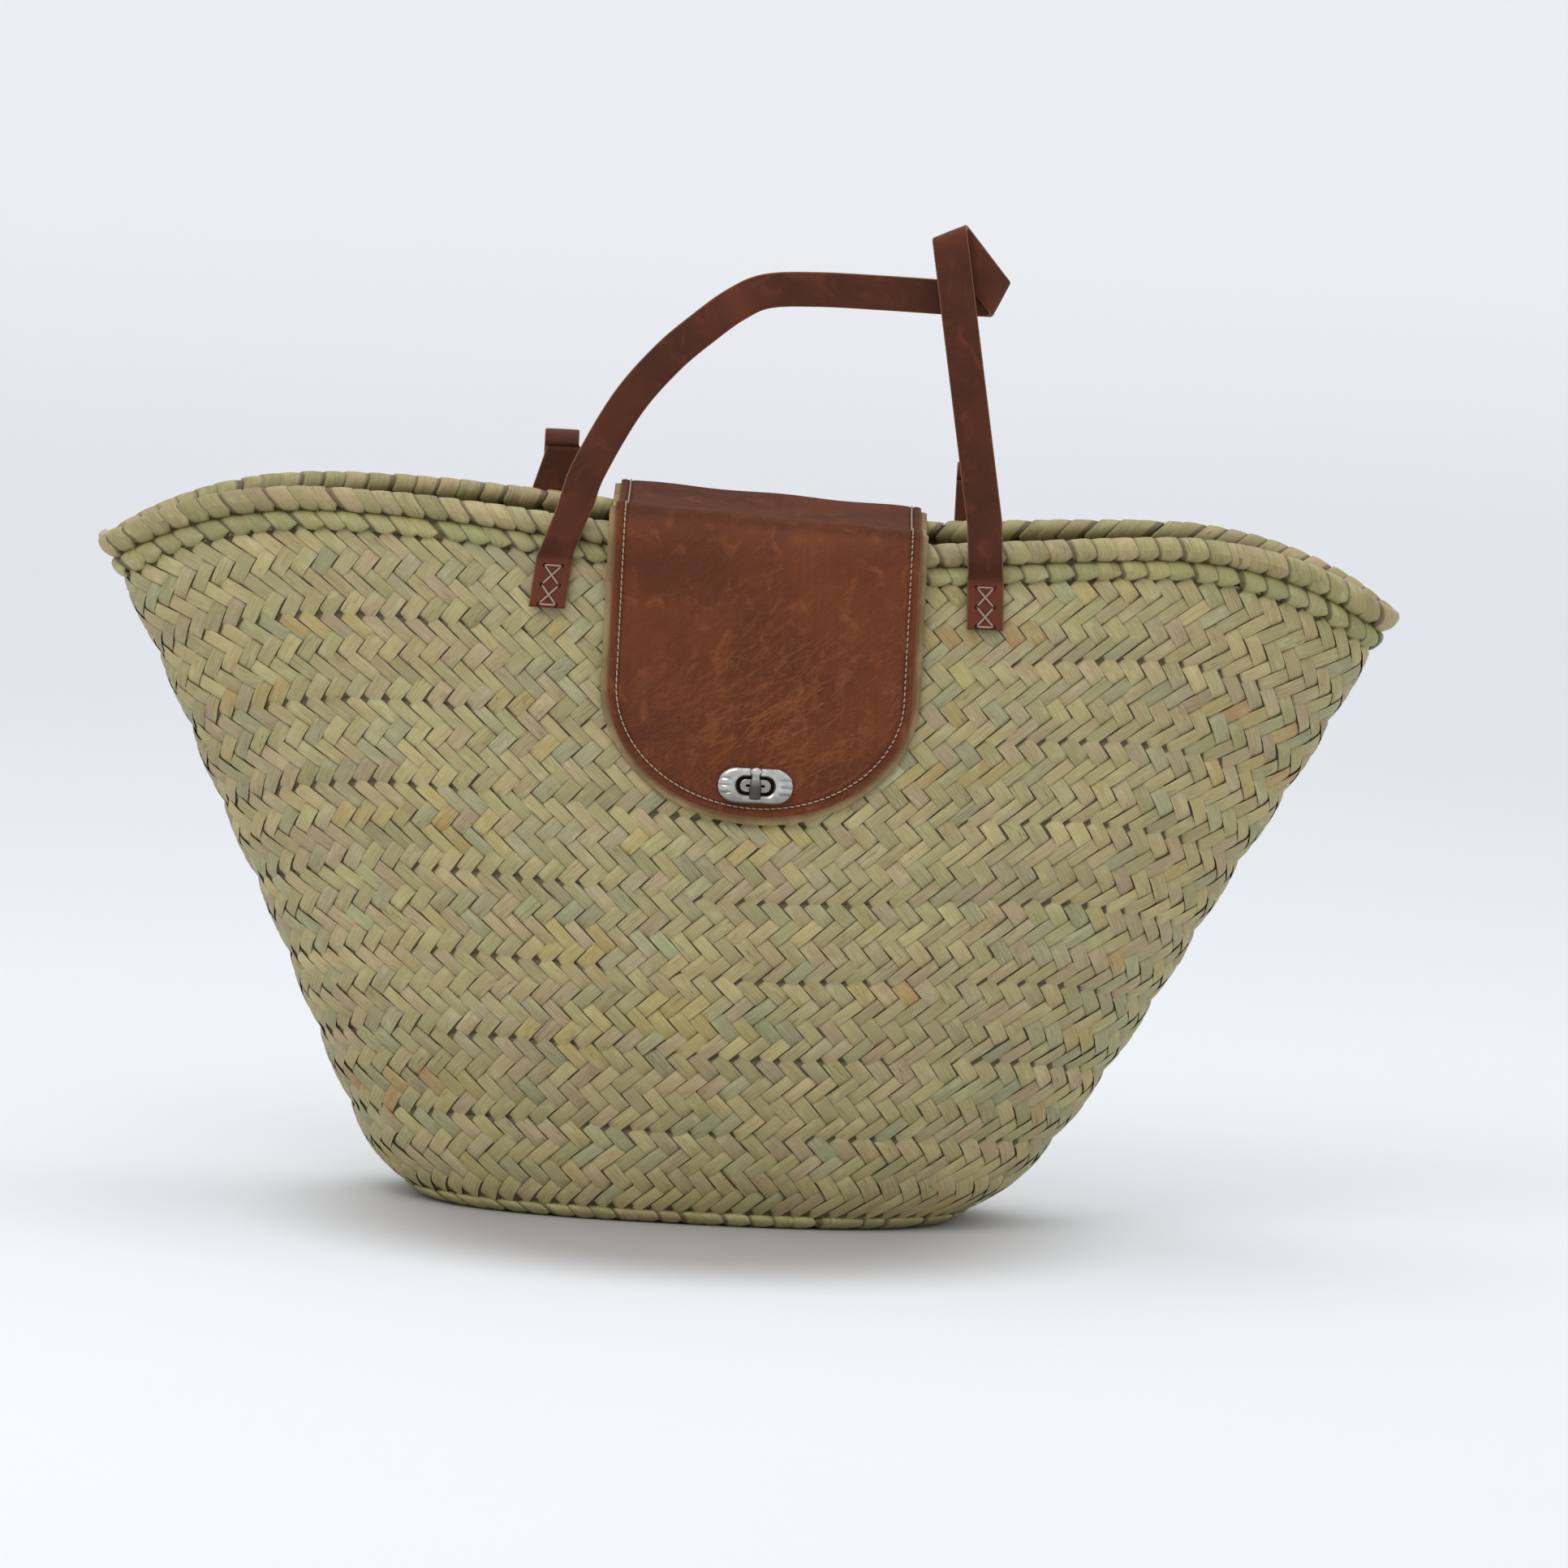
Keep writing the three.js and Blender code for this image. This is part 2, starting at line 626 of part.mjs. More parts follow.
function makeFlap() {
  const span = BACK_AXIS.y - FRONT_AXIS.y;
  const middle = (BACK_AXIS.y + FRONT_AXIS.y) / 2;

  const bridge = new THREE.Group();
  bridge.position.set(FLAP_X, middle, BACK_AXIS.z);
  bridge.rotation.y = FLAP_TILT;
  basket.add(bridge);
  const top = new THREE.BoxGeometry(2 * FLAP_HALF_WIDTH, span - 4 * GAP, LEATHER);
  top.translate(0, 0, -LEATHER / 2);
  addTo(bridge, "flap_bridge_leather", top, flapLeather());
  const under = new THREE.BoxGeometry(2 * FLAP_HALF_WIDTH, span - 4 * GAP, LINING);
  under.translate(0, 0, -LEATHER - GAP - LINING / 2);
  addTo(bridge, "flap_bridge_lining", under, suede());

  const anchor = new THREE.Group();
  anchor.position.set(FLAP_X, ANCHOR_DEPTH, ANCHOR_LOW);
  basket.add(anchor);
  const strip = new THREE.BoxGeometry(2 * FLAP_HALF_WIDTH, LEATHER, ANCHOR_HEIGHT);
  strip.translate(0, LEATHER / 2, ANCHOR_HEIGHT / 2);
  addTo(anchor, "flap_anchor", strip, flapLeather());
  const run = bar(
    new THREE.Vector2(SEAM_INSET - FLAP_HALF_WIDTH, 0),
    new THREE.Vector2(FLAP_HALF_WIDTH - SEAM_INSET, 0),
    2 * THREAD_RADIUS,
  );
  run.translate(0, LEATHER + GAP + THREAD_RADIUS, SEAM_INSET);
  addTo(anchor, "flap_anchor_seam", run, thread());

  const panel = new THREE.Group();
  panel.position.set(FLAP_X, FRONT_AXIS.y, FRONT_AXIS.z);
  panel.rotation.x = Math.PI / 2 - PANEL_LEAN;
  basket.add(panel);
  const straight = PANEL_LENGTH - PANEL_ROUND;
  const face = uOutline(FLAP_HALF_WIDTH, -2 * GAP, straight, PANEL_ROUND);
  const cut = { length: EYELET_LENGTH + 1, width: EYELET_WIDTH + 1 };
  face.holes.push(oblong(cut.length, cut.width, -LOCK_DROP));
  addTo(panel, "flap_front_lining", slab(face, 0, LINING, 16), suede());
  addTo(panel, "flap_front_leather", slab(face, LINING + GAP, LEATHER, 16), flapLeather());
  const height = LINING + GAP + LEATHER + GAP + THREAD_RADIUS;
  const [inner, roundIn] = [FLAP_HALF_WIDTH - SEAM_INSET, PANEL_ROUND - SEAM_INSET];
  const seam = seamThread(inner, -4, straight, roundIn, height, 44);
  addTo(panel, "flap_front_seam", outward(fromManifold(toManifold(seam))), thread());
  return panel;
}

// ---------------------------------------------------------------- turn lock

function post(radius, low, high) {
  const geometry = new THREE.CylinderGeometry(radius, radius, high - low, 16);
  geometry.rotateX(Math.PI / 2);
  geometry.translate(0, 0, (low + high) / 2);
  return geometry;
}

function makeLock(panel) {
  const place = new THREE.Group();
  place.position.set(0, -LOCK_DROP, 0);
  panel.add(place);
  const face = LINING + GAP + LEATHER + GAP;
  const solid = (length, width) => new THREE.Shape(oblong(length, width).getPoints(8));

  const plate = solid(PLATE_LENGTH, PLATE_WIDTH);
  plate.holes.push(oblong(EYELET_LENGTH, EYELET_WIDTH));
  addTo(place, "lock_plate", slab(plate, face, PLATE_THICKNESS), nickel());
  const washer = slab(plate, -GAP - WASHER_THICKNESS, WASHER_THICKNESS);
  addTo(place, "lock_plate_washer", washer, nickel());

  const foot = solid(FOOT_LENGTH, FOOT_WIDTH);
  const boss = solid(BOSS_LENGTH, BOSS_WIDTH);
  const bossBack = FOOT_BACK + WASHER_THICKNESS / 2;
  const base = toManifold(slab(foot, FOOT_BACK, WASHER_THICKNESS))
    .add(toManifold(slab(boss, bossBack, BOSS_TOP - bossBack)))
    .subtract(toManifold(post(SHAFT_RADIUS + GAP, BOSS_TOP - BORE_DEPTH, BOSS_TOP + 1)));
  addTo(place, "lock_base", fromManifold(base), nickel());
  addTo(place, "lock_back_washer", slab(foot, BACK_WASHER, WASHER_THICKNESS), nickel());

  const grip = slab(solid(KNOB_LENGTH, KNOB_WIDTH), KNOB_BACK, KNOB_THICKNESS);
  const knob = join([grip, post(SHAFT_RADIUS, SHAFT_END, KNOB_BACK + KNOB_THICKNESS / 2)]);
  knob.rotateZ(Math.PI / 2);
  addTo(place, "lock_knob", knob, nickel());
}

makeWoven();
makeHandles();
makeLock(makeFlap());

export default basket;
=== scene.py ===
"""The looks of a woven market basket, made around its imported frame.

Sizes are in millimetres, as in the part, and turn into metres where a mesh is made.
+Z is up, +X runs along the basket's length and the front faces -Y.
"""

import math

import bpy
import numpy as np
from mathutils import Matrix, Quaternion, Vector


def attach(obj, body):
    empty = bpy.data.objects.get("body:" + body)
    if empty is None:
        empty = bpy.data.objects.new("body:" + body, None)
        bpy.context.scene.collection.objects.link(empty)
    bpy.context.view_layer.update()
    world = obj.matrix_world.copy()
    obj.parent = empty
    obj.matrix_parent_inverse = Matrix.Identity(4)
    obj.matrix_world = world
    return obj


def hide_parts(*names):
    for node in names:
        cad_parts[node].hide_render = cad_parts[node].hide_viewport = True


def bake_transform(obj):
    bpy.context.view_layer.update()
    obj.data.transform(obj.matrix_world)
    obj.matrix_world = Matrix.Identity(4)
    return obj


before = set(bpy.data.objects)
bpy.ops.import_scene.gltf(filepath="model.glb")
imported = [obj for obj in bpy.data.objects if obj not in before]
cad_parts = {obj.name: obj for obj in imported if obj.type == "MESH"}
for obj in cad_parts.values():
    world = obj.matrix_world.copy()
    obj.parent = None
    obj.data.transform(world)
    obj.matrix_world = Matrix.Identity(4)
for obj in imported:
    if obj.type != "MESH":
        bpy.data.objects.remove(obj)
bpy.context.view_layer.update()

MM = 0.001
random = np.random.default_rng(11)

FOOT_HALF_WIDTH = 119  # of the flat underside, at the plait's middle
FOOT_HALF_DEPTH = 67
HEEL_FLARE = 24  # how far the wall's ends spring out above the underside
HEEL_DEPTH = 9  # the same of the front and the back
HEEL_HEIGHT = 14  # over which they do so
SIDE_SLOPE = 0.525  # outward run of each end per unit of height
BELLY_DEPTH = 11  # outward belly of the front and the back
MOUTH_DRAW = 8  # they draw in again at the mouth
MOUTH_SHIFT = 17  # the mouth leans this far towards +X
SHIFT_HEIGHT = 90  # over which most of that shift comes
CORNER = 0.22  # how much squarer than an ellipse the underside is
CORNER_HEIGHT = 40  # over which that squareness fades
MOUTH_HALF_WIDTH = 300
MOUTH_PINCH = 0.28  # how far the mouth closes towards its two tips
WALL_HEIGHT = 310  # over which the belly and the pinch develop
RIM_MIDDLE = 319.5  # height of the rim at its dip
RIM_DIP_X = 36
RIM_RISE = 11.5  # of the humps above the dip
RIM_RISE_RUN = 190
RIM_TILT = 2  # the -X tip stands higher and the +X tip lower by this much
TIP_DROP = 32  # of the two tips below the humps
TIP_DROP_START = 0.6  # share of the half width where the drop begins

TURNS = 8
WALL_FOOT = 7.2  # height of the plait's lowest edge
RIM_STACK = 19.4  # the roll, the cord and their gaps, above the plait
LEAF_PITCH = 9.9

ROLL_HALF_WIDTH = 6.6
ROLL_HALF_HEIGHT = 5.5
CORD_RADIUS = 3.9
EDGE_CORD_RADIUS = 3.3

STRAP_WIDTH = 16.3
STRAP_HALF = 1.2
TAB_WIDTH = 17.0
TAB_LOW = 284
TAB_TOP = 308
FLAP_X = 23.5
TAB_SPREAD = 100

PANEL_LEAN = math.radians(4.7)
PANEL_LENGTH = 134
PANEL_ROUND = 59
FLAP_TILT = math.tan(math.radians(2.5))
LOCK_DROP = 118
FLAP_HALF_WIDTH = 72
SEAM_INSET = 4.5


# ---- the basket's surface


def smooth(value):
    t = np.clip(value, 0, 1)
    return t * t * (3 - 2 * t)


def circle(count):
    """count angles at even steps round a full turn."""
    return np.linspace(0, 2 * np.pi, count, endpoint=False)


def stacked(*values):
    """Values broadcast together and joined along a new last axis."""
    return np.stack(np.broadcast_arrays(*values), -1)


def travelled(points):
    """Distance along a row of points, from 0 at its first."""
    return np.concatenate([[0], np.cumsum(np.linalg.norm(np.diff(points, axis=0), axis=1))])


def signed_power(value, power):
    return np.sign(value) * np.abs(value) ** power


def half_width(z):
    return FOOT_HALF_WIDTH + HEEL_FLARE * (1 - np.exp(-z / HEEL_HEIGHT)) + SIDE_SLOPE * z


def half_depth(z):
    share = z / WALL_HEIGHT
    heel = HEEL_DEPTH * (1 - np.exp(-z / HEEL_HEIGHT))
    return FOOT_HALF_DEPTH + heel + BELLY_DEPTH * np.sin(np.pi * share) - MOUTH_DRAW * share**3


def middle_x(z):
    return MOUTH_SHIFT * (1 - np.exp(-z / SHIFT_HEIGHT))


def pinched(z, across):
    """Half depth at height z, less where the mouth closes towards its tips."""
    pinch = MOUTH_PINCH * np.minimum(z / WALL_HEIGHT, 1) ** 3
    return half_depth(z) * across * (1 - pinch * (1 - across**2))


def outline(u, z):
    """The plait's middle at angle u and height z, as the part has it."""
    corner = 1 - CORNER * np.exp(-z / CORNER_HEIGHT)
    along = signed_power(np.cos(u), corner)
    across = signed_power(np.sin(u), corner)
    return middle_x(z) + half_width(z) * along, pinched(z, across)


def wall_point(u, z, offset):
    x0, y0 = outline(u - 0.01, z)
    x1, y1 = outline(u + 0.01, z)
    run = np.hypot(x1 - x0, y1 - y0)
    x, y = outline(u, z)
    return np.stack([x + (y1 - y0) / run * offset, y - (x1 - x0) / run * offset, z + 0 * x], -1)


def wall_depth(x, z):
    along = (x - middle_x(z)) / half_width(z)
    return pinched(z, np.sqrt(1 - along**2))


def rim_top(u):
    along = np.cos(u)
    x = MOUTH_SHIFT + MOUTH_HALF_WIDTH * along
    past = np.maximum(0, (np.abs(along) - TIP_DROP_START) / (1 - TIP_DROP_START))
    humps = RIM_RISE * smooth(np.abs(x - RIM_DIP_X) / RIM_RISE_RUN)
    return RIM_MIDDLE + humps - TIP_DROP * past**2.1 - RIM_TILT * along


def wall_height(u, share):
    return WALL_FOOT + (rim_top(u) - RIM_STACK - WALL_FOOT) * share


def even_angles(height):
    """Angles round the basket and the length walked to each. height(u) gives z."""
    u = np.linspace(0, 2 * np.pi, 1441)
    points = wall_point(u, height(u), 0)
    return u, travelled(points)


def angle_at(around, distance):
    u, length = around
    turns = np.floor(distance / length[-1])
    return np.interp(distance - turns * length[-1], length, u)


# ---- mesh helpers


def grid_faces(rows, columns, count=1, ring=False, closed=False, flip=False):
    """Quads over count grids. ring joins the last row to the first, closed the last column."""
    i, j = np.meshgrid(
        np.arange(rows if ring else rows - 1),
        np.arange(columns if closed else columns - 1),
        indexing="ij",
    )
    after_i, after_j = (i + 1) % rows, (j + 1) % columns
    quads = np.stack(
        [i * columns + j, i * columns + after_j, after_i * columns + after_j, after_i * columns + j],
        -1,
    ).reshape(-1, 4)
    if flip:
        quads = quads[:, ::-1]
    shift = np.arange(count) * rows * columns
    return (quads[None] + shift[:, None, None]).reshape(-1, 4)


class Pile:
    """Collects grids of points with their tones and fibre coordinates into one mesh."""

    def __init__(self):
        self.points, self.faces, self.tones, self.fibres = [], [], [], []
        self.size = 0

    def add(self, points, faces, tone, fibre=None):
        points = np.asarray(points, float).reshape(-1, 3)
        count = len(points)
        tone = np.asarray(tone, float)
        fibre = points if fibre is None else np.asarray(fibre, float).reshape(-1, 3)
        if tone.ndim == 1:
            tone = np.tile(tone, (count, 1))
        self.points.append(points)
        self.faces.extend((np.asarray(faces) + self.size).tolist())
        self.tones.append(tone.reshape(-1, 4))
        self.fibres.append(fibre)
        self.size += count

    def add_rings(self, rings, tone, fibre=None):
        """Rings of points, each closed, joined one to the next."""
        rings = np.array(rings)
        self.add(rings, grid_faces(*rings.shape[:2], closed=True), tone, fibre)

    def piece(self, name, material):
        mesh = bpy.data.meshes.new(name)
        points = np.concatenate(self.points) * MM
        mesh.from_pydata(points.tolist(), [], self.faces)
        tone = mesh.attributes.new("tone", "FLOAT_COLOR", "POINT")
        tone.data.foreach_set("color", np.concatenate(self.tones).astype(np.float32).ravel())
        fibre = mesh.attributes.new("fibre", "FLOAT_VECTOR", "POINT")
        fibre.data.foreach_set("vector", np.concatenate(self.fibres).astype(np.float32).ravel())
        mesh.polygons.foreach_set("use_smooth", np.ones(len(mesh.polygons), bool))
        mesh.materials.append(material)
        mesh.update()
        shown = bpy.data.objects.new(name, mesh)
        bpy.context.scene.collection.objects.link(shown)
        return shown


def wandering(count, run):
    """count values from 0 to 1 round a ring, which change slowly over about run of them."""
    knots = random.random(max(3, int(count / run)))
    place = np.arange(count) / count * len(knots)
    low = np.floor(place).astype(int)
    return knots[low] + (knots[(low + 1) % len(knots)] - knots[low]) * smooth(place - low)


# ---- materials


def linear(red, green, blue):
    def channel(value):
        value /= 255
        return value / 12.92 if value <= 0.04045 else ((value + 0.055) / 1.055) ** 2.4

    return (channel(red), channel(green), channel(blue), 1)


class Shader:
    """A material whose nodes are added one by one."""

    def __init__(self, name):
        self.material = bpy.data.materials.new(name)
        self.material.use_nodes = True
        self.tree = self.material.node_tree
        self.surface = self.tree.nodes["Principled BSDF"]

    def node(self, kind, inputs=None, **settings):
        made = self.tree.nodes.new(kind)
        for key, value in settings.items():
            setattr(made, key, value)
        for key, value in (inputs or {}).items():
            self.feed(made.inputs[key], value)
        return made

    def feed(self, socket, value):
        if isinstance(value, bpy.types.NodeSocket):
            self.tree.links.new(value, socket)
        else:
            socket.default_value = value

    def attribute(self, name):
        return self.node("ShaderNodeAttribute", attribute_name=name)

    def math(self, operation, a, b=0.0, clamp=False):
        made = self.node("ShaderNodeMath", {0: a, 1: b}, operation=operation, use_clamp=clamp)
        return made.outputs[0]

    def times(self, a, b, clamp=False):
        return self.math("MULTIPLY", a, b, clamp)

    def plus(self, a, b, clamp=False):
        return self.math("ADD", a, b, clamp)

    def mix(self, factor, a, b, blend="MIX"):
        made = self.node("ShaderNodeMix", data_type="RGBA", blend_type=blend)
        self.feed(made.inputs[0], factor)
        self.feed(made.inputs[6], a)
        self.feed(made.inputs[7], b)
        return made.outputs[2]

    def ramp(self, factor, stops, interpolation="LINEAR"):
        made = self.node("ShaderNodeValToRGB", {0: factor})
        ramp = made.color_ramp
        ramp.interpolation = interpolation
        while len(ramp.elements) < len(stops):
            ramp.elements.new(1)
        for element, (place, color) in zip(ramp.elements, stops):
            element.position = place
            element.color = color
        return made.outputs[0]

    def window(self, value, low, high):
        made = self.node(
            "ShaderNodeMapRange",
            {"Value": value, "From Min": low, "From Max": high},
            interpolation_type="SMOOTHSTEP",
        )
        return made.outputs[0]

    def noise(self, vector, scale, detail=3.0, roughness=0.55, distortion=0.0):
        made = self.node(
            "ShaderNodeTexNoise",
            {
                "Vector": vector,
                "Scale": scale,
                "Detail": detail,
                "Roughness": roughness,
                "Distortion": distortion,
            },
        )
        return made.outputs[0]

    def stretch(self, vector, scale, turn=0.0):
        """Turns a vector about its third axis, then scales it."""
        if turn:
            vector = self.node("ShaderNodeMapping", {"Vector": vector, "Rotation": (0, 0, turn)}).outputs[0]
        return self.node("ShaderNodeMapping", {"Vector": vector, "Scale": scale}).outputs[0]

    def finish(self, color, roughness, height=None, strength=0.3, distance=0.0005, **plain):
        self.feed(self.surface.inputs["Base Color"], color)
        self.feed(self.surface.inputs["Roughness"], roughness)
        for key, value in plain.items():
            self.surface.inputs[key.replace("_", " ")].default_value = value
        if height is not None:
            bump = self.node(
                "ShaderNodeBump", {"Height": height, "Strength": strength, "Distance": distance}
            )
            self.feed(self.surface.inputs["Normal"], bump.outputs[0])
        return self.material


LEAF_COLOURS = [
    (178, 168, 120),
    (170, 157, 112),
    (183, 170, 122),
    (165, 160, 112),
    (176, 158, 122),
    (160, 160, 122),
    (180, 166, 108),
    (176, 146, 98),
]
CORD_COLOURS = [
    (162, 160, 112),
    (172, 165, 116),
    (154, 155, 104),
    (168, 159, 106),
    (160, 156, 114),
]
ROLL_COLOURS = [
    (162, 156, 106),
    (172, 162, 112),
    (152, 148, 96),
    (174, 156, 116),
    (158, 150, 100),
    (166, 150, 104),
]


def leaf_material(name, colours, dark=(54, 44, 22)):
    """Dry palm leaf. tone: hue, brightness, splits, depth; depth is a painted shade towards dark where a leaf
    lies low. fibre: across, along, leaf number.
    """
    shade = Shader(name)
    tone = shade.attribute("tone")
    parts = shade.node("ShaderNodeSeparateColor", {0: tone.outputs["Color"]})
    hue, bright, split = parts.outputs
    depth = tone.outputs["Alpha"]
    fibre = shade.attribute("fibre").outputs["Vector"]
    stops = [(i / (len(colours) - 1), linear(*c)) for i, c in enumerate(colours)]
    color = shade.ramp(hue, stops)

    streak = shade.noise(shade.stretch(fibre, (2.4, 0.07, 3.1)), 1.0, 4, 0.65)
    blotch = shade.noise(shade.stretch(fibre, (0.16, 0.09, 1.7)), 1.0, 3, 0.6)
    color = shade.mix(shade.window(streak, 0.66, 0.3), color, linear(228, 220, 196), "MULTIPLY")
    pale = shade.times(shade.window(blotch, 0.5, 0.72), 0.35)
    color = shade.mix(pale, color, linear(196, 188, 140))
    stain = shade.times(shade.window(blotch, 0.42, 0.26), 0.4)
    color = shade.mix(stain, color, linear(132, 100, 58))

    slits = shade.noise(shade.stretch(fibre, (1.1, 0.03, 7.7)), 1.0, 1, 0.4)
    off = shade.math("ABSOLUTE", shade.math("SUBTRACT", slits, 0.5))
    line = shade.math("SUBTRACT", 1.0, shade.window(off, 0.0, 0.022))
    line = shade.times(line, shade.window(split, 0.62, 0.9))
    color = shade.mix(shade.times(line, 0.65), color, linear(84, 68, 38))

    gain = shade.plus(shade.times(bright, 0.34), 0.74)
    scaled = shade.node("ShaderNodeVectorMath", {0: color}, operation="SCALE")
    shade.feed(scaled.inputs["Scale"], gain)
    # Painted shade: mixed towards dark as far as the tone's depth says.
    color = shade.mix(depth, scaled.outputs[0], linear(*dark))
    ridges = shade.math("SUBTRACT", streak, shade.times(line, 0.5))
    rough = shade.plus(shade.times(streak, 0.25), 0.42)
    return shade.finish(color, rough, ridges, 0.35, 0.0006)


# scale across and along, direction and strength of each set of creases in the flap's leather
CREASE_FIELDS = [((0.15, 0.026, 1), 2.3, 1.0), ((0.26, 0.05, 1), 1.9, 0.6), ((0.2, 0.045, 1), 2.9, 0.5)]


def leather_material(name, base, light, dark, mottle=0.02, crinkle=0.0):
    """Leather. tone: raw edge, wear_and_highlight (paler where worn, and a painted highlight), crinkle, depth
    (painted shade). fibre: place on the hide, in millimetres.
    """
    shade = Shader(name)
    tone = shade.attribute("tone")
    parts = shade.node("ShaderNodeSeparateColor", {0: tone.outputs["Color"]})
    edge, wear_and_highlight, folds = parts.outputs
    fibre = shade.attribute("fibre").outputs["Vector"]
    cloud = shade.noise(shade.stretch(fibre, (mottle, mottle, 1.0)), 1.0, 5, 0.62, 0.4)
    patch = shade.noise(shade.stretch(fibre, (0.09, 0.07, 1.0)), 1.0, 4, 0.65, 0.8)
    grain = shade.node(
        "ShaderNodeTexVoronoi",
        {"Vector": fibre, "Scale": 1.5, "Randomness": 1.0},
        feature="DISTANCE_TO_EDGE",
    ).outputs[0]
    fine = shade.noise(fibre, 2.2, 3, 0.6)
    color = shade.mix(shade.window(cloud, 0.36, 0.64), linear(*dark), linear(*base))
    color = shade.mix(shade.times(shade.window(patch, 0.5, 0.74), 0.55), color, linear(*light))
    color = shade.mix(shade.times(shade.window(fine, 0.62, 0.4), 0.22), color, linear(*dark))
    height = shade.times(shade.window(grain, 0.0, 0.12), 0.25)
    height = shade.plus(height, shade.times(fine, 0.5))
    if crinkle:
        rise = 0.0
        for scale, turn, share in CREASE_FIELDS:
            field = shade.noise(shade.stretch(fibre, scale, turn), 1.0, 4, 0.6, 0.7)
            ridge = shade.math("ABSOLUTE", shade.math("SUBTRACT", field, 0.5))
            ridge = shade.times(shade.window(ridge, 0.05, 0.0), share)
            rise = shade.plus(rise, ridge)
        streaks = shade.noise(shade.stretch(fibre, (0.35, 0.014, 1)), 1.0, 4, 0.6, 0.3)
        color = shade.mix(shade.times(shade.window(streaks, 0.5, 0.3), 0.35), color, linear(*dark))
        rise = shade.times(rise, folds)
        color = shade.mix(shade.times(rise, 0.42, True), color, linear(*light))
        height = shade.plus(height, shade.times(rise, crinkle))
    # Paler where worn, and where a highlight is painted.
    color = shade.mix(shade.times(wear_and_highlight, 0.6), color, linear(*light))
    color = shade.mix(edge, color, linear(150, 112, 78))
    # Painted shade: darker as far as the tone's alpha says.
    color = shade.mix(tone.outputs["Alpha"], color, linear(38, 20, 12))
    rough = shade.plus(shade.times(patch, 0.28), 0.34)
    rough = shade.plus(rough, shade.times(tone.outputs["Alpha"], 1.4), True)
    return shade.finish(color, rough, height, 0.6, 0.0006, Specular_IOR_Level=0.2)


def suede_material():
    shade = Shader("suede")
    place = shade.node("ShaderNodeTexCoord").outputs["Object"]
    nap = shade.noise(place, 900, 3, 0.7)
    cloud = shade.noise(place, 60, 3, 0.6)
    color = shade.mix(shade.window(cloud, 0.35, 0.65), linear(128, 104, 66), linear(158, 134, 92))
    color = shade.mix(shade.times(nap, 0.4), color, linear(78, 60, 34))
    return shade.finish(color, 0.92, nap, 0.4, 0.0005)


def thread_material():
    shade = Shader("thread")
    fibre = shade.attribute("fibre").outputs["Vector"]
    twist = shade.node(
        "ShaderNodeTexWave",
        {"Vector": shade.stretch(fibre, (1.0, 1.0, 1.0), 0.7), "Scale": 0.9, "Distortion": 0.6},
    ).outputs[1]
    color = shade.mix(twist, linear(146, 122, 100), linear(190, 172, 150))
    return shade.finish(color, 0.75, twist, 0.5, 0.0003)


def nickel_material():
    """Polished nickel, darkened by painted shade and painted reflection where tone's depth says."""
    shade = Shader("nickel")
    depth = shade.attribute("tone").outputs["Alpha"]
    place = shade.node("ShaderNodeTexCoord").outputs["Object"]
    haze = shade.noise(place, 240, 4, 0.6)
    wipe = shade.noise(shade.stretch(place, (900, 900, 90)), 1.0, 2, 0.5)
    color = shade.mix(shade.window(haze, 0.3, 0.7), linear(176, 174, 168), linear(206, 205, 201))
    # Painted shade and reflection: towards dark grey as far as the tone's depth says.
    color = shade.mix(depth, color, linear(52, 48, 43))
    rough = shade.plus(shade.times(haze, 0.16), 0.08)
    return shade.finish(color, rough, wipe, 0.06, 0.0002, Metallic=1.0)


def floor_material():
    """Pale paper: darker where the basket's foot keeps the light off, lighter far behind."""
    shade = Shader("floor")
    place = shade.node("ShaderNodeTexCoord").outputs["Object"]
    mottle = shade.noise(place, 3, 4, 0.6)
    near = shade.mix(mottle, (0.77, 0.785, 0.81, 1), (0.79, 0.805, 0.83, 1))
    depth = shade.node("ShaderNodeSeparateXYZ", {0: place}).outputs[1]
    color = shade.mix(shade.window(depth, 1.0, 8.0), near, (0.95, 0.955, 0.96, 1))
    foot = shade.node(
        "ShaderNodeMapping", {"Vector": place, "Location": (0, 0.45, 0), "Scale": (1 / 0.19, 1 / 0.19, 1)}
    )
    reach = shade.node("ShaderNodeVectorMath", {0: foot.outputs[0]}, operation="LENGTH").outputs["Value"]
    shadow = shade.times(shade.window(reach, 1.15, 0.45), 0.62)
    return shade.finish(shade.mix(shadow, color, (0.16, 0.12, 0.085, 1)), 0.9)


palm = leaf_material("palm_leaf", LEAF_COLOURS)
palm_cord = leaf_material("palm_cord", CORD_COLOURS)
palm_roll = leaf_material("palm_roll", ROLL_COLOURS, (70, 58, 30))
palm_knot = leaf_material("palm_knot", [(214, 208, 184), (226, 220, 200)])
strap_leather = leather_material("strap_leather", (84, 40, 19), (122, 62, 38), (66, 30, 14))
flap_leather = leather_material(
    "flap_leather", (110, 54, 22), (146, 86, 48), (86, 40, 18), 0.013, 2.4
)
suede = suede_material()
thread = thread_material()
nickel = nickel_material()


def stand_in(made, body, *nodes):
    """Shows a piece in place of CAD nodes, riding on their body."""
    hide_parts(*nodes)
    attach(made, body)


# ---- plait


def wave(u, share):
    """How far the hand-made wall strays from its smooth shape: each turn bulges, most at the ends."""
    rise = share * TURNS - np.floor(share * TURNS)
    bulge = (1 - (2 * rise - 1) ** 2) * (0.5 + 1.5 * np.abs(np.cos(u)) ** 8)
    stray = 0.5 * np.sin(5 * u + 9 * share) + 0.35 * np.sin(11 * u - 15 * share + 1.3)
    return bulge + stray


def leaf_height(along, wide, lift):
    """Height of a leaf over the plait's middle: crowned, and tucked under at both ends."""
    crown = 0.3 * (1 - np.abs(2 * wide) ** 3)
    tuck = 1.5 * smooth((np.abs(along) - 0.72) / 0.5)
    return 1.7 + crown + lift - tuck


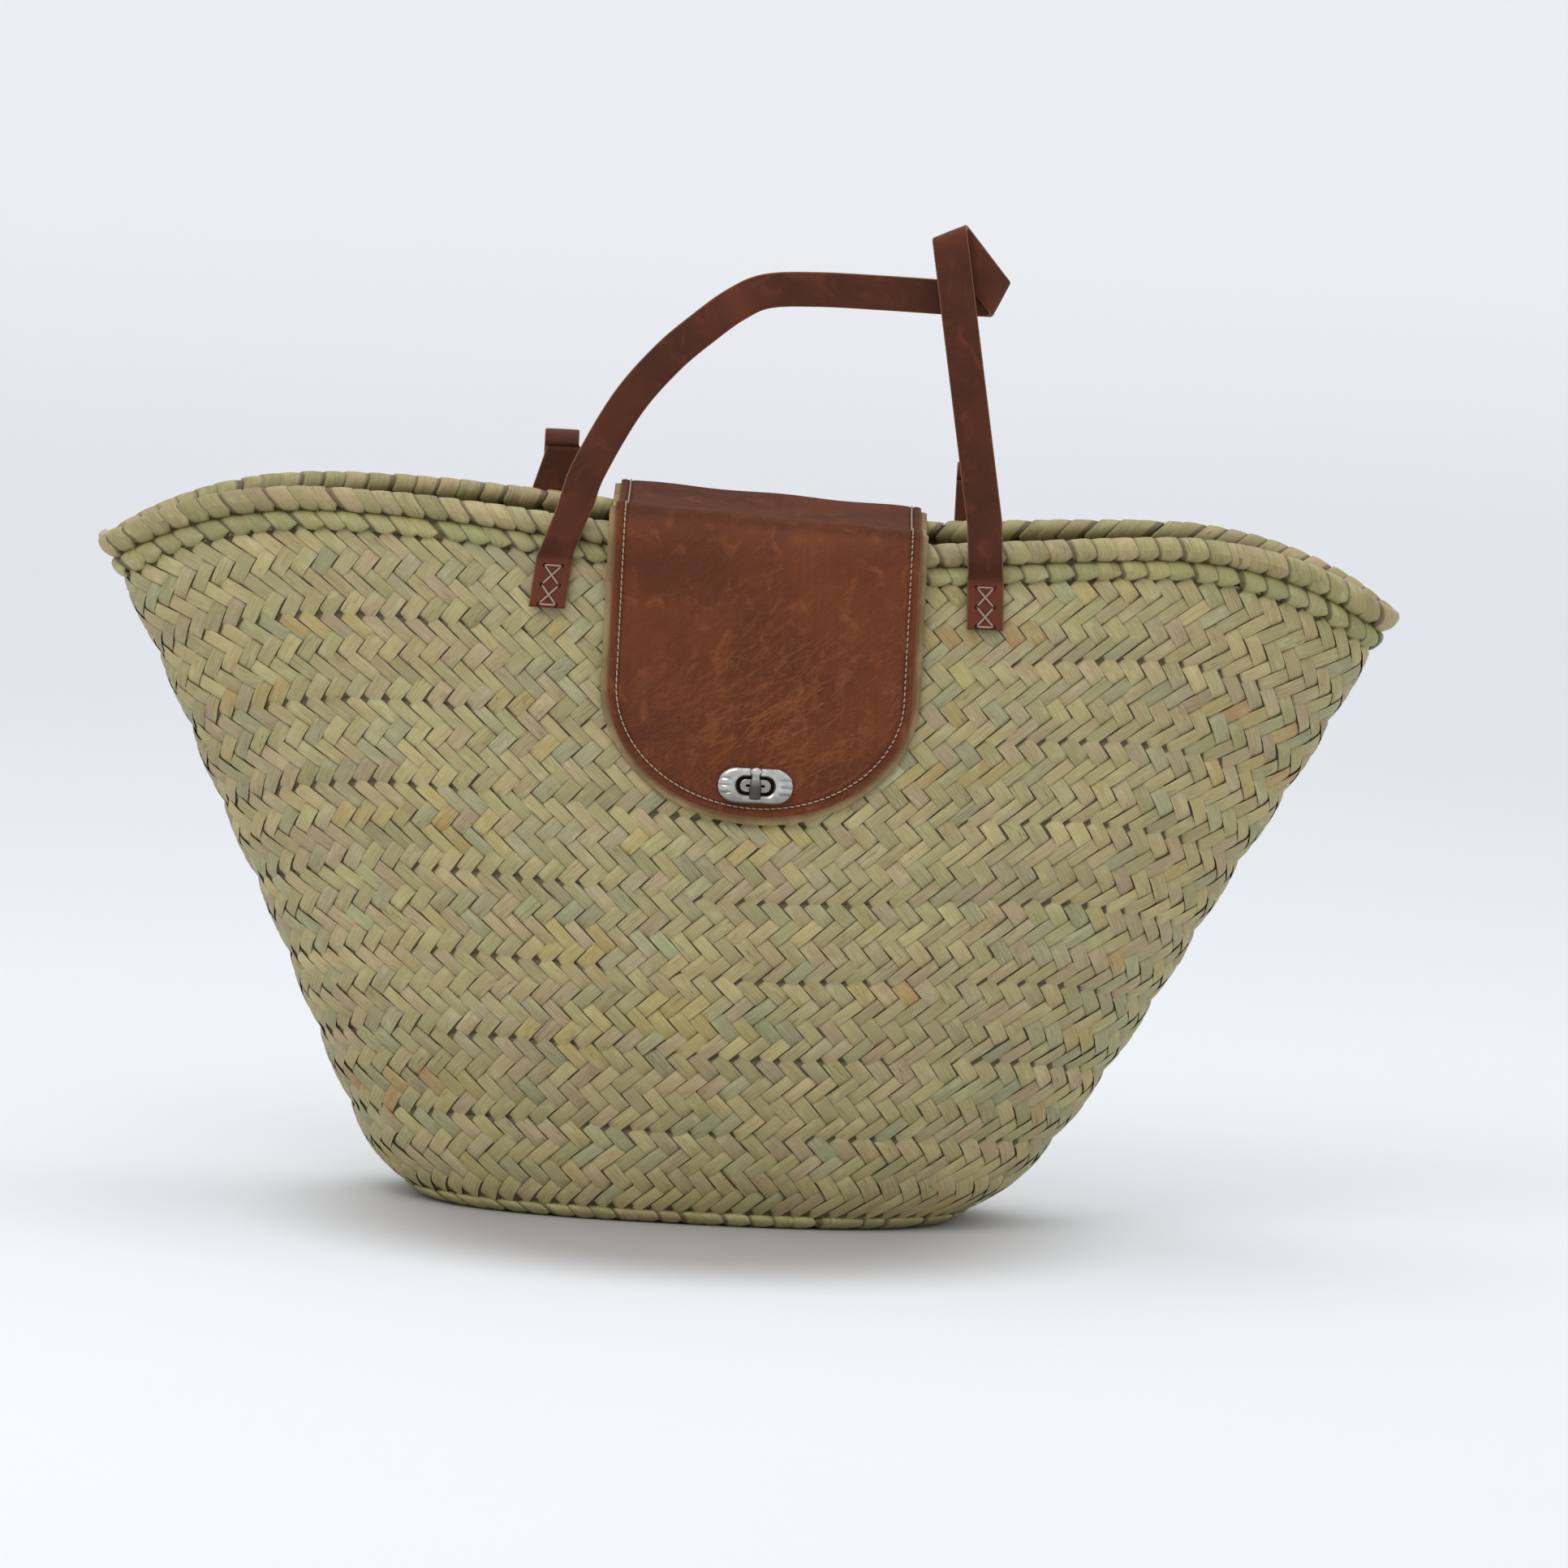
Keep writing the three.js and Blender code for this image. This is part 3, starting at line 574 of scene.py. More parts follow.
def leaf_grids(count, slant, pitch, rise, steps=(9, 5)):
    """Offsets (level, up), height and fibre of count leaves that slant one way."""
    along = np.linspace(-1.24, 1.24, steps[0])[None, :, None]
    wide = np.linspace(-0.5, 0.5, steps[1])[None, None, :]

    def spread(size, middle=0.0):
        return middle + size * (random.random((count, 1, 1)) - 0.5)

    turn = spread(0.16)
    width = spread(0.1, 0.94)
    a = wide * width + turn * along * 0.5 + spread(0.08)
    b = along + spread(0.14) - turn * wide
    lift = spread(0.35) + spread(0.9) * wide
    height = leaf_height(along, wide, lift)
    level = (a + b) * pitch / 2
    up = (b - a) * rise / 2 * slant
    fibre = stacked(wide * 7.0, along * 7.0, spread(400))
    return level, up, height, fibre


def leaf_tones(count, height, hue_run=5.0):
    hue = np.clip(0.62 * wandering(count, hue_run) + 0.5 * random.random(count) - 0.06, 0, 1)
    bright = 0.5 * wandering(count, 7.0) + 0.5 * random.random(count)
    split = random.random(count)
    # Painted shade: the lower a point of a leaf lies, the darker it is painted.
    depth = smooth((0.75 - height) / 0.7) * 0.85
    return stacked(*(v[:, None, None] for v in (hue, bright, split)), depth)


def plait_turn(turn):
    pile = Pile()
    middle = even_angles(lambda u: wall_height(u, (turn + 0.5) / TURNS))
    columns = round(middle[1][-1] / LEAF_PITCH)
    row_share = 1 / (4 * TURNS)
    for side in (1, -1):
        steps = (9, 5) if side == 1 else (6, 4)
        for row in range(4):
            share = (turn + (row + 0.5) / 4) / TURNS
            around = even_angles(lambda u, share=share: wall_height(u, share))
            pitch = around[1][-1] / columns
            slant = -1 if row % 2 else 1
            level, up, height, fibre = leaf_grids(columns, slant, pitch, 2 * row_share, steps)
            place = (np.arange(columns) + 0.5 * (row % 2)) * pitch
            u = angle_at(around, place[:, None, None] + level)
            at = share + up / 2
            edge = np.abs(at * TURNS - np.clip(np.round(at * TURNS), turn, turn + 1)) * 36
            groove = 0.35 * np.exp(-((edge / 2.0) ** 2))
            z = wall_height(u, at)
            lifted = height - groove
            points = wall_point(u, z, side * lifted + wave(u, at))
            faces = grid_faces(steps[0], steps[1], columns, flip=(slant == side))
            pile.add(points, faces, leaf_tones(columns, lifted), fibre)
    # A dark core band inside the turn: painted shade, seen through the gaps between leaves.
    count = 240
    u = circle(count)[:, None]
    low, high = turn / TURNS, (turn + 1) / TURNS
    rise = np.linspace(low, high, 7)
    share = np.concatenate([rise, rise[::-1]])[None, :]
    offset = np.repeat([0.75, -0.75], 7)[None, :]
    z = wall_height(u, share)
    pile.add(
        wall_point(u + 0 * z, z, offset + wave(u, np.clip(share, low + 1e-6, high - 1e-6))),
        grid_faces(count, 14, ring=True, closed=True),
        [0.3, 0.2, 0.0, 0.8],
    )
    return pile.piece(f"plait_turn_{turn + 1}", palm)


def base_plait():
    """The underside, plaited in ovals one inside the other."""
    pile = Pile()
    rise = 9.2
    rings = 14
    for ring in range(rings):
        inset = 3.3 + (ring + 0.5) * rise / 2

        def place_of(u, deep):
            x, y = outline(u, 3.3)
            shrink_x = np.maximum(1 - deep / FOOT_HALF_WIDTH, 0.05)
            shrink_y = np.maximum(1 - deep / FOOT_HALF_DEPTH, 0.0)
            return x * shrink_x, y * shrink_y

        u = np.linspace(0, 2 * np.pi, 721)
        x, y = place_of(u, inset)
        length = np.concatenate([[0], np.cumsum(np.hypot(np.diff(x), np.diff(y)))])
        columns = max(8, round(length[-1] / LEAF_PITCH))
        pitch = length[-1] / columns
        slant = -1 if ring % 2 else 1
        for side in (1, -1):
            level, up, height, fibre = leaf_grids(columns, slant, pitch, rise / 2, (5, 4))
            place = (np.arange(columns) + 0.5 * (ring % 2)) * pitch
            angle = angle_at((u, length), place[:, None, None] + level)
            px, py = place_of(angle, inset + up)
            pz = 2.7 + side * height
            faces = grid_faces(5, 4, columns, flip=(slant != side))
            pile.add(np.stack([px, py, pz], -1), faces, leaf_tones(columns, height), fibre)
    # A dark core: painted shade, seen through the gaps between leaves.
    count = 96
    u = circle(count)
    x, y = outline(u, 3.3)
    rows = [(0.0, 2.0), (0.96, 2.0), (0.96, 3.4), (0.0, 3.4)]
    core = np.array([np.stack([x * s, y * s, 0 * x + z], -1) for s, z in rows])
    pile.add_rings(core, [0.3, 0.2, 0.0, 0.8])
    return pile.piece("plait_base", palm)


# ---- wrapped roll and cords


def wraps(name, height, half_wide, half_high, pitch, lean, puff, lap, material, narrow=0.25, web=0):
    """A cord round the basket, wrapped with leaves that lap each other towards +u.

    height(u) is the cord's middle. puff is how far each wrap swells, lap how far its edge stands
    up over the next one, lean how far it runs on from the cord's top to its foot, web the height
    of the plait inside that joins it to what's over it.
    """
    pile = Pile()
    around = even_angles(height)
    count = round(around[1][-1] / pitch)
    pitch = around[1][-1] / count
    columns = np.array([0, 0.14, 0.2, 0.27, 0.42, 0.6, 0.78, 0.88, 0.92, 0.96])
    steps = (22, len(columns))
    turn = np.linspace(0, 2 * np.pi, steps[0])[None, :, None]
    v = columns[None, None, :]
    start = np.arange(count) + 0.34 * (random.random(count) - 0.5)
    start = (start * pitch)[:, None, None]
    width = pitch * (1.3 + 0.2 * (random.random((count, 1, 1)) - 0.5))
    bow = 0.9 * random.random((count, 1, 1)) + 0.4
    below = smooth((-np.sin(turn) - 0.35) / 0.65)
    used = v * (1 - narrow * below)
    run = start + width * used + lean * (1 - np.sin(turn)) / 2 + bow * np.cos(turn) * v
    swell = puff * np.sin(np.pi * np.clip(v * 1.12, 0, 1)) ** 0.8
    tip = smooth((v - 0.9) / 0.05)
    out = lap * v + swell - (lap + 0.6) * tip + 0.25 * (random.random((count, 1, 1)) - 0.5)
    u = angle_at(around, run)
    radial_wide = half_wide - lap - puff * 0.5 + out
    radial_high = half_high - lap - puff * 0.5 + out
    z = height(u) + radial_high * np.sin(turn)
    points = wall_point(u, z, radial_wide * np.cos(turn))
    hue = np.clip(0.55 * wandering(count, 4.0) + 0.55 * random.random(count) - 0.05, 0, 1)
    bright = 0.4 * wandering(count, 6.0) + 0.6 * random.random(count)
    split = 0.25 + 0.75 * random.random(count)
    # Painted shade: darker near a wrap's start, where it tucks under the wrap before, and on its underside
    # near its end.
    deep = np.clip(smooth((0.27 - v) / 0.1) * 0.8 + 0.5 * below * smooth((v - 0.8) / 0.2), 0, 1)
    tones = stacked(*(w[:, None, None] for w in (hue, bright, split)), deep + 0 * z)
    girth = half_wide + half_high
    fibre = stacked(v * pitch, turn * girth / 2, 40.0 * random.random((count, 1, 1)))
    pile.add(points, grid_faces(*steps, count), tones, fibre)

    # A dark core, and a dark web to what lies above: painted shade, seen between the wraps.
    core = circle(12)[None, :]
    u = circle(300)[:, None]
    z = height(u) + (half_high - lap - puff - 0.6) * np.sin(core)
    points = wall_point(u + 0 * z, z, (half_wide - lap - puff - 0.6) * np.cos(core))
    pile.add(points, grid_faces(300, 12, ring=True, closed=True), [0.3, 0.1, 0, 0.85])
    if web:
        around = np.array([0, 0, 1, 1])[None, :]
        side = np.array([1.2, -1.2, -1.2, 1.2])[None, :]
        points = wall_point(u + 0 * side, height(u) + around * web - 2, side)
        pile.add(points, grid_faces(300, 4, ring=True, closed=True), [0.3, 0.1, 0, 0.85])
    return pile.piece(name, material)


def roll_middle(u):
    return rim_top(u) - ROLL_HALF_HEIGHT


def cord_middle(u):
    return rim_top(u) - 2 * ROLL_HALF_HEIGHT - 0.3 - CORD_RADIUS


def foot_middle(u):
    return EDGE_CORD_RADIUS + 0 * u


def rim_knot():
    """The pale knot that ends the roll's last leaf at the basket's tip."""
    pile = Pile()
    turn = circle(14)
    middle = wall_point(np.array([np.pi]), rim_top(np.pi) - 1.5, 2.0)[0]
    rings = []
    for share in np.linspace(-0.98, 0.98, 9):
        around = math.sqrt(1 - share**2) * (1 + 0.12 * math.sin(5 * share))
        rings.append(
            middle
            + np.stack([3.1 * around * np.cos(turn), 4.2 * around * np.sin(turn), 0 * turn + 3.6 * share], -1)
        )
    fibre = np.zeros((9 * 14, 3))
    pile.add_rings(rings, [0.4, 1.0, 0.8, 0.0], fibre)
    return pile.piece("rim_knot", palm_knot)


# ---- leather strips


SECTION_ACROSS = np.array([-1, -0.985, -0.93, -0.7, -0.35, 0, 0.35, 0.7, 0.93, 0.985])
SECTION_HEIGHT = np.array([0, 0.72, 1, 1.03, 1.06, 1.07, 1.06, 1.03, 1, 0.72])


def strip_section():
    """Rounded section of a strap: across from -1 to 1 and height from -1 to 1, closed."""
    across = np.concatenate([SECTION_ACROSS, -SECTION_ACROSS])
    height = np.concatenate([SECTION_HEIGHT, -SECTION_HEIGHT])
    return across, height


def strip_tones(across, height, wear_and_highlight):
    edge = smooth((np.abs(across) - 0.95) / 0.04) * 0.75
    return stacked(edge[None, :], wear_and_highlight[:, None] + 0 * height[None, :], 0.0, 0.0)


def add_strip(pile, points, distance, across, height, wear_and_highlight):
    """points: rows along the strap, each one loop of the section. Closes both ends."""
    rows, columns = points.shape[:2]
    side = 30.0 * np.sign(height)[None, :]
    fibre = stacked(across[None, :] * STRAP_WIDTH / 2, distance[:, None], side)
    faces = grid_faces(rows, columns, closed=True).tolist()
    half = columns // 2
    for row in (0, rows - 1):
        ring = [row * columns + k for k in range(columns)]
        for k in range(1, half):
            quad = [ring[k - 1], ring[k], ring[columns - k - 1], ring[-k]]
            faces.append(quad if row else quad[::-1])
    pile.add(points, faces, strip_tones(across, height, wear_and_highlight), fibre)


def tab_depth(x, z, top_depth):
    on_wall = wall_depth(x, np.minimum(z, TAB_TOP)) + 5.2
    return on_wall + (top_depth - on_wall) * smooth((z - TAB_TOP + 4) / 14)


def strap_end_point(end, z, across, height):
    """A point of a sewn strap end; across in millimetres, height out of the leather's middle."""
    on_tab = np.clip((z - TAB_LOW) / (TAB_TOP - TAB_LOW), 0, 1)
    past = np.maximum(0, z - TAB_TOP)
    x = end["foot"] + (end["head"] - end["foot"]) * on_tab + end["lean"] * past + across
    depth = tab_depth(x, z, end["depth"]) + height
    return stacked(x, end["facing"] * depth, z + 0 * x)


def end_rows(end, rise, mirror):
    """Sections of a sewn strap end at the heights in rise. mirror of -1 turns its section over."""
    across, height = strip_section()
    wide = np.where(rise > TAB_TOP, STRAP_WIDTH, TAB_WIDTH)[:, None] / 2
    return strap_end_point(
        end, rise[:, None], mirror * across[None, :] * wide, height[None, :] * STRAP_HALF
    )


FRONT_FOLD_Z = 331
FRONT_LEAN = 0.2126
TAB_DEPTH = 70.7
FRONT_DEPTH = TAB_DEPTH + FRONT_LEAN * (FRONT_FOLD_Z - TAB_TOP)
FRONT_ROUTE = [
    (-65.4, 334.5),
    (-60.5, 350),
    (-44.5, 381),
    (-27, 403.5),
    (-10.6, 419),
    (3, 430),
    (17, 437),
    (40, 439),
    (70, 439),
    (100, 438.5),
]
SIDE_CREASE = {"x": 120, "z": 439.5, "angle": math.radians(65), "side": 1, "radius": 3.2}
TOP_CREASE = {"x": 104, "z": 468, "angle": math.radians(25), "side": -1, "radius": 2.6}
CREASE_RUN = 46
RIGHT_LEG = 137.8


def spline(points, count):
    """count points evenly along a smooth curve through the given ones."""
    knots = np.array(points, float)
    padded = np.vstack([2 * knots[0] - knots[1], knots, 2 * knots[-1] - knots[-2]])
    t = np.linspace(0, 1, 24, endpoint=False)[:, None]
    pieces = []
    for k in range(len(knots) - 1):
        a, b, c, d = padded[k : k + 4]
        bend = 2 * a - 5 * b + 4 * c - d
        twist = 3 * b - a - 3 * c + d
        pieces.append(0.5 * (2 * b + (c - a) * t + bend * t**2 + twist * t**3))
    fine = np.vstack([*pieces, knots[-1:]])
    length = travelled(fine)
    even = np.linspace(0, length[-1], count)
    return np.stack([np.interp(even, length, fine[:, k]) for k in range(fine.shape[1])], -1), length[-1]


def crease(x, y, z, line, level, past):
    """Folds what lies past a line of a flat strap back over itself towards the front."""
    along = np.array([math.cos(line["angle"]), math.sin(line["angle"])])
    beyond = np.array([along[1], -along[0]]) * line["side"]
    flat_x, flat_z = x - line["x"], z - line["z"]
    far = flat_x * beyond[0] + flat_z * beyond[1]
    kept = flat_x * along[0] + flat_z * along[1]
    turn = np.clip(far / line["radius"], 0, np.pi)
    radius = line["radius"] + (y - level)
    reach = radius * np.sin(turn) - np.maximum(0, far - np.pi * line["radius"])
    folded = past & (far > 0)
    return (
        np.where(folded, line["x"] + along[0] * kept + beyond[0] * reach, x),
        np.where(folded, level - line["radius"] + radius * np.cos(turn), y),
        np.where(folded, line["z"] + along[1] * kept + beyond[1] * reach, z),
    )


def tab_wear(run, length, start):
    """The sewn tabs are paler; they start this far past both ends of the loop."""
    past = np.maximum(-run, run - length)
    return 0.55 * smooth((past - start) / 2)


def front_strap():
    pile = Pile()
    across, height = strip_section()
    left = {"foot": -77, "head": -74.5, "lean": 0.35, "facing": -1, "depth": FRONT_DEPTH}
    right = {"foot": 125.5, "head": 124.5, "lean": -0.07, "facing": -1, "depth": FRONT_DEPTH}
    rise = np.linspace(TAB_LOW, FRONT_FOLD_Z - 2, 24)

    route, curved = spline(FRONT_ROUTE, 120)
    slope = np.gradient(route, axis=0)
    slope /= np.linalg.norm(slope, axis=1)[:, None]
    at = np.linspace(0, curved, 120)
    end = route[-1]
    to_side = SIDE_CREASE["x"] - end[0]
    total = curved + to_side + CREASE_RUN + RIGHT_LEG
    distance = np.linspace(0, total, 360)
    straight = np.maximum(distance - curved, 0)
    px = np.interp(distance, at, route[:, 0]) + straight
    pz = np.interp(distance, at, route[:, 1])
    tx = np.where(straight > 0, 1, np.interp(distance, at, slope[:, 0]))
    tz = np.where(straight > 0, 0, np.interp(distance, at, slope[:, 1]))
    reach = -across[None, :] * STRAP_WIDTH / 2
    x = px[:, None] - tz[:, None] * reach
    z = pz[:, None] + tx[:, None] * reach
    y = -height[None, :] * STRAP_HALF + 0 * x
    past_side = (distance > curved + to_side - STRAP_WIDTH)[:, None]
    x, y, z = crease(x, y, z, SIDE_CREASE, 0, past_side)
    leg = (distance - (total - RIGHT_LEG))[:, None]
    x, y, z = crease(x, y, z, TOP_CREASE, -2 * SIDE_CREASE["radius"], leg > -STRAP_WIDTH)
    top_plane = 2 * (SIDE_CREASE["radius"] + TOP_CREASE["radius"])
    settle = np.where(leg > 0, top_plane * (1 - smooth((z - FRONT_FOLD_Z) / 110)), 0)
    y = y + settle - (TAB_DEPTH + FRONT_LEAN * (z - TAB_TOP))
    handle = np.stack([x, y, z], -1)
    mirror = np.sign(handle[-1, 9, 0] - handle[-1, 0, 0])
    points = np.concatenate([end_rows(left, rise, 1), handle, end_rows(right, rise, mirror)[::-1]])
    below = FRONT_FOLD_Z + 3 - rise
    run = np.concatenate([-below, distance, total + below[::-1]])
    folds = [curved + to_side + 3, total - RIGHT_LEG]
    # The last spot lies on the handle's curve and at no fold. It is a painted highlight.
    folds.append(np.interp(4, route[:, 0], at))
    wear_and_highlight = sum(0.5 * np.exp(-(((run - f) / 7) ** 2)) for f in folds) + 0.12
    wear_and_highlight += tab_wear(run, total, FRONT_FOLD_Z - TAB_TOP + 3)
    add_strip(pile, points, run, across, height, wear_and_highlight)
    strap = pile.piece("front_strap", strap_leather)
    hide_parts("front_left_strap_end", "front_right_strap_end", "front_handle_strap")
    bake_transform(strap)
    return left, right


BACK_FOLD_Z = 343
BACK_DEPTH = 72.5
BACK_BEND = 6
BACK_LEG = 17.5
BACK_LOOP = 100
BACK_BOW = 0.0004
BACK_RISE = 5  # the soft strap stands up higher over the rim than its hinge, at its left end
BACK_SKEW = 5


def back_strap():
    pile = Pile()
    across, height = strip_section()
    left = {"foot": -79.0, "head": -87.0, "lean": 0.3, "facing": 1, "depth": BACK_DEPTH}
    right = {"foot": 123.5, "head": 118.5, "lean": 0, "facing": 1, "depth": BACK_DEPTH}
    left_rise = np.linspace(TAB_LOW, BACK_FOLD_Z + BACK_RISE - 1, 32)
    right_rise = np.linspace(TAB_LOW, BACK_FOLD_Z - 2, 32)

    bend = math.pi * BACK_BEND
    half = bend + BACK_LEG + math.pi / 2 * BACK_LOOP
    distance = np.linspace(0, 2 * half, 260)
    mirror = np.where(distance > half, 1, -1)[:, None]
    run = np.where(distance > half, 2 * half - distance, distance)[:, None]
    turn = np.minimum(run / bend, 1) * math.pi
    round_part = np.maximum(0, run - bend - BACK_LEG) / BACK_LOOP
    radius = BACK_LOOP - across[None, :] * STRAP_WIDTH / 2
    skew = (distance / (2 * half))[:, None]
    x = FLAP_X + mirror * radius * np.cos(round_part) - BACK_SKEW * skew
    down = np.clip(run - bend, 0, BACK_LEG) + radius * np.sin(round_part)
    lift = BACK_BEND + height[None, :] * STRAP_HALF
    y = BACK_DEPTH + BACK_BEND - lift * np.cos(turn) + BACK_BOW * down**2
    z = BACK_FOLD_Z + BACK_RISE - (BACK_RISE + 1) * skew + lift * np.sin(turn) - down
    loop = np.stack([x, y, z], -1)
    mirror_left = np.sign(loop[0, 9, 0] - loop[0, 0, 0])
    mirror_right = np.sign(loop[-1, 9, 0] - loop[-1, 0, 0])
    left_rows = end_rows(left, left_rise, mirror_left)
    right_rows = end_rows(right, right_rise, mirror_right)[::-1]
    points = np.concatenate([left_rows, loop, right_rows])
    left_run = left_rise - BACK_FOLD_Z - BACK_RISE
    right_run = 2 * half + BACK_FOLD_Z - right_rise[::-1]
    along = np.concatenate([left_run, distance, right_run])
    wear_and_highlight = 0.12 + tab_wear(along, 2 * half, BACK_FOLD_Z - TAB_TOP)
    add_strip(pile, points, along, across, height, wear_and_highlight)
    strap = pile.piece("back_strap", strap_leather)
    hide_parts("back_left_strap_end", "back_right_strap_end", "back_handle_strap")
    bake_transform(strap)
    return left, right


# ---- threads


def add_thread(pile, path, radius, tone=(0, 0, 0, 0)):
    """A round thread along a path of points."""
    path = np.asarray(path, float)
    tangent = np.gradient(path, axis=0)
    tangent /= np.linalg.norm(tangent, axis=1)[:, None]
    helper = np.array([0.31, 0.9, 0.3])
    side = np.cross(tangent, helper)
    side /= np.linalg.norm(side, axis=1)[:, None]
    other = np.cross(tangent, side)
    turn = circle(8)
    share = np.linspace(-1, 1, len(path))
    thick = radius * np.sqrt(np.clip(1 - share**8, 0.15, 1))
    ring = (
        side[:, None] * np.cos(turn)[None, :, None] + other[:, None] * np.sin(turn)[None, :, None]
    )
    points = path[:, None] + ring * thick[:, None, None]
    length = travelled(path)
    fibre = stacked(turn[None, :] * radius, length[:, None], 0.0)
    pile.add(points, grid_faces(len(path), 8, closed=True, flip=True), tone, fibre)


def tab_stitches(name, end):
    """Two crosses and the short stitches that close them, with the holes that they go into."""
    pile = Pile()
    middle_z = (TAB_LOW + TAB_TOP) / 2 - 1.5
    half, rise = 4.0, 9.0

    def on_tab(x, z, height):
        return strap_end_point(end, middle_z + z, x, STRAP_HALF * 1.06 + height)

    def stitch(a, b, lift):
        t = np.linspace(0, 1, 9)
        x = a[0] * half + (b[0] - a[0]) * half * t
        z = (a[1] + (b[1] - a[1]) * t) * rise
        height = lift * np.sin(np.pi * t) ** 0.6 - 0.35
        add_thread(pile, on_tab(x, z, height), 0.42)

    for low in (-1, 0):
        stitch((-1, low), (1, low + 1), 0.75)
        stitch((1, low), (-1, low + 1), 1.25)
    stitch((-1, -1), (1, -1), 0.8)
    stitch((-1, 1), (1, 1), 0.8)
    made = pile.piece(name, thread)
    stand_in(made, "root", name.replace("stitches", "cross_stitch"))

    # The holes are dark rings on the leather: painted shade where the thread goes in.
    holes = Pile()
    for x in (-1, 1):
        for z in (-1, 0, 1):
            turn = circle(10)
            rings = [(1.15, -0.1), (0.8, 0.08), (0.3, 0.06)]
            points = [
                on_tab(x * half + r * np.cos(turn), z * rise + 1.1 * r * np.sin(turn), 0 * turn + h)
                for r, h in rings
            ]
            holes.add_rings(points, [0, 0, 0, 0.9])
    dark = holes.piece(name.replace("stitches", "holes"), strap_leather)
    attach(dark, "root")


# ---- flap


# the leather's middle line in the basket's cross plane, as (y, z), from its sewn edge to the fold
PROFILE_KNOTS = [
    (78.9, 272.3), (78.9, 292), (79.0, 310), (80.0, 321), (79.6, 326.3),
    (75.5, 329.0), (66, 328.4), (40, 325.6), (0, 323.6), (-36, 325.6),
    (-56, 329.4), (-66, 329.6), (-74.4, 325.4), (-78.8, 318.6), (-80.6, 311.0),
]
PROFILE, PROFILE_LENGTH = spline(PROFILE_KNOTS, 400)
FOLD_DROP = 14.8  # how far down the panel the profile reaches
FRONT_NORMAL = np.array([-math.cos(PANEL_LEAN), math.sin(PANEL_LEAN)])
FRONT_DOWN = np.array([-math.sin(PANEL_LEAN), -math.cos(PANEL_LEAN)])


def flap_line(run):
    """Middle line and outward normal at run, which is 0 at the fold and grows down the panel."""
    at = np.linspace(-PROFILE_LENGTH, 0, 400) + FOLD_DROP
    slope = np.gradient(PROFILE, axis=0)
    slope /= np.linalg.norm(slope, axis=1)[:, None]
    normal = np.stack([slope[:, 1], -slope[:, 0]], -1)
    panel = run > FOLD_DROP
    base = PROFILE[-1] + np.multiply.outer(np.maximum(run - FOLD_DROP, 0), FRONT_DOWN)
    line = np.stack([np.interp(run, at, PROFILE[:, k]) for k in range(2)], -1)
    out = np.stack([np.interp(run, at, normal[:, k]) for k in range(2)], -1)
    blend = smooth((run - 4) / 12)[..., None]
    out = out * (1 - blend) + FRONT_NORMAL * blend
    return np.where(panel[..., None], base, line), out


def flap_point(x, run, height):
    """x from the flap's centre line, run along it, height over the leather's middle."""
    line, out = flap_line(run)
    drape = smooth((run - 2) / 40)
    height = height - 4.6 * (x / FLAP_HALF_WIDTH) ** 2 * drape
    sag = 1.2 * (1 - (x / FLAP_HALF_WIDTH) ** 2)
    sag = sag * smooth((-run - 6) / 30) * smooth((150 - np.abs(run)) / 30)
    y = line[..., 0] + out[..., 0] * height
    z = line[..., 1] + out[..., 1] * height - sag
    tilt = FLAP_TILT * x * (1 - 0.75 * smooth(run / 110)) * smooth((run + 205) / 40)
    return stacked(FLAP_X + x, y, z - tilt)


def flap_half(run, half, end):
    """Half width of the flap at run: straight sides, then an elliptical end."""
    straight = PANEL_LENGTH - PANEL_ROUND
    share = np.clip((run - straight) / (end - straight), 0, 1)
    return half * np.sqrt(np.maximum(1 - share**2, 0))


def border_distance(x, run, half, end):
    straight = PANEL_LENGTH - PANEL_ROUND
    past = np.maximum(run - straight, 0)
    share = np.hypot(x / half, past / (end - straight))
    radius = np.hypot(x, past) / np.maximum(share, 1e-6)
    return np.where(past > 0, (1 - share) * radius, half - np.abs(x))


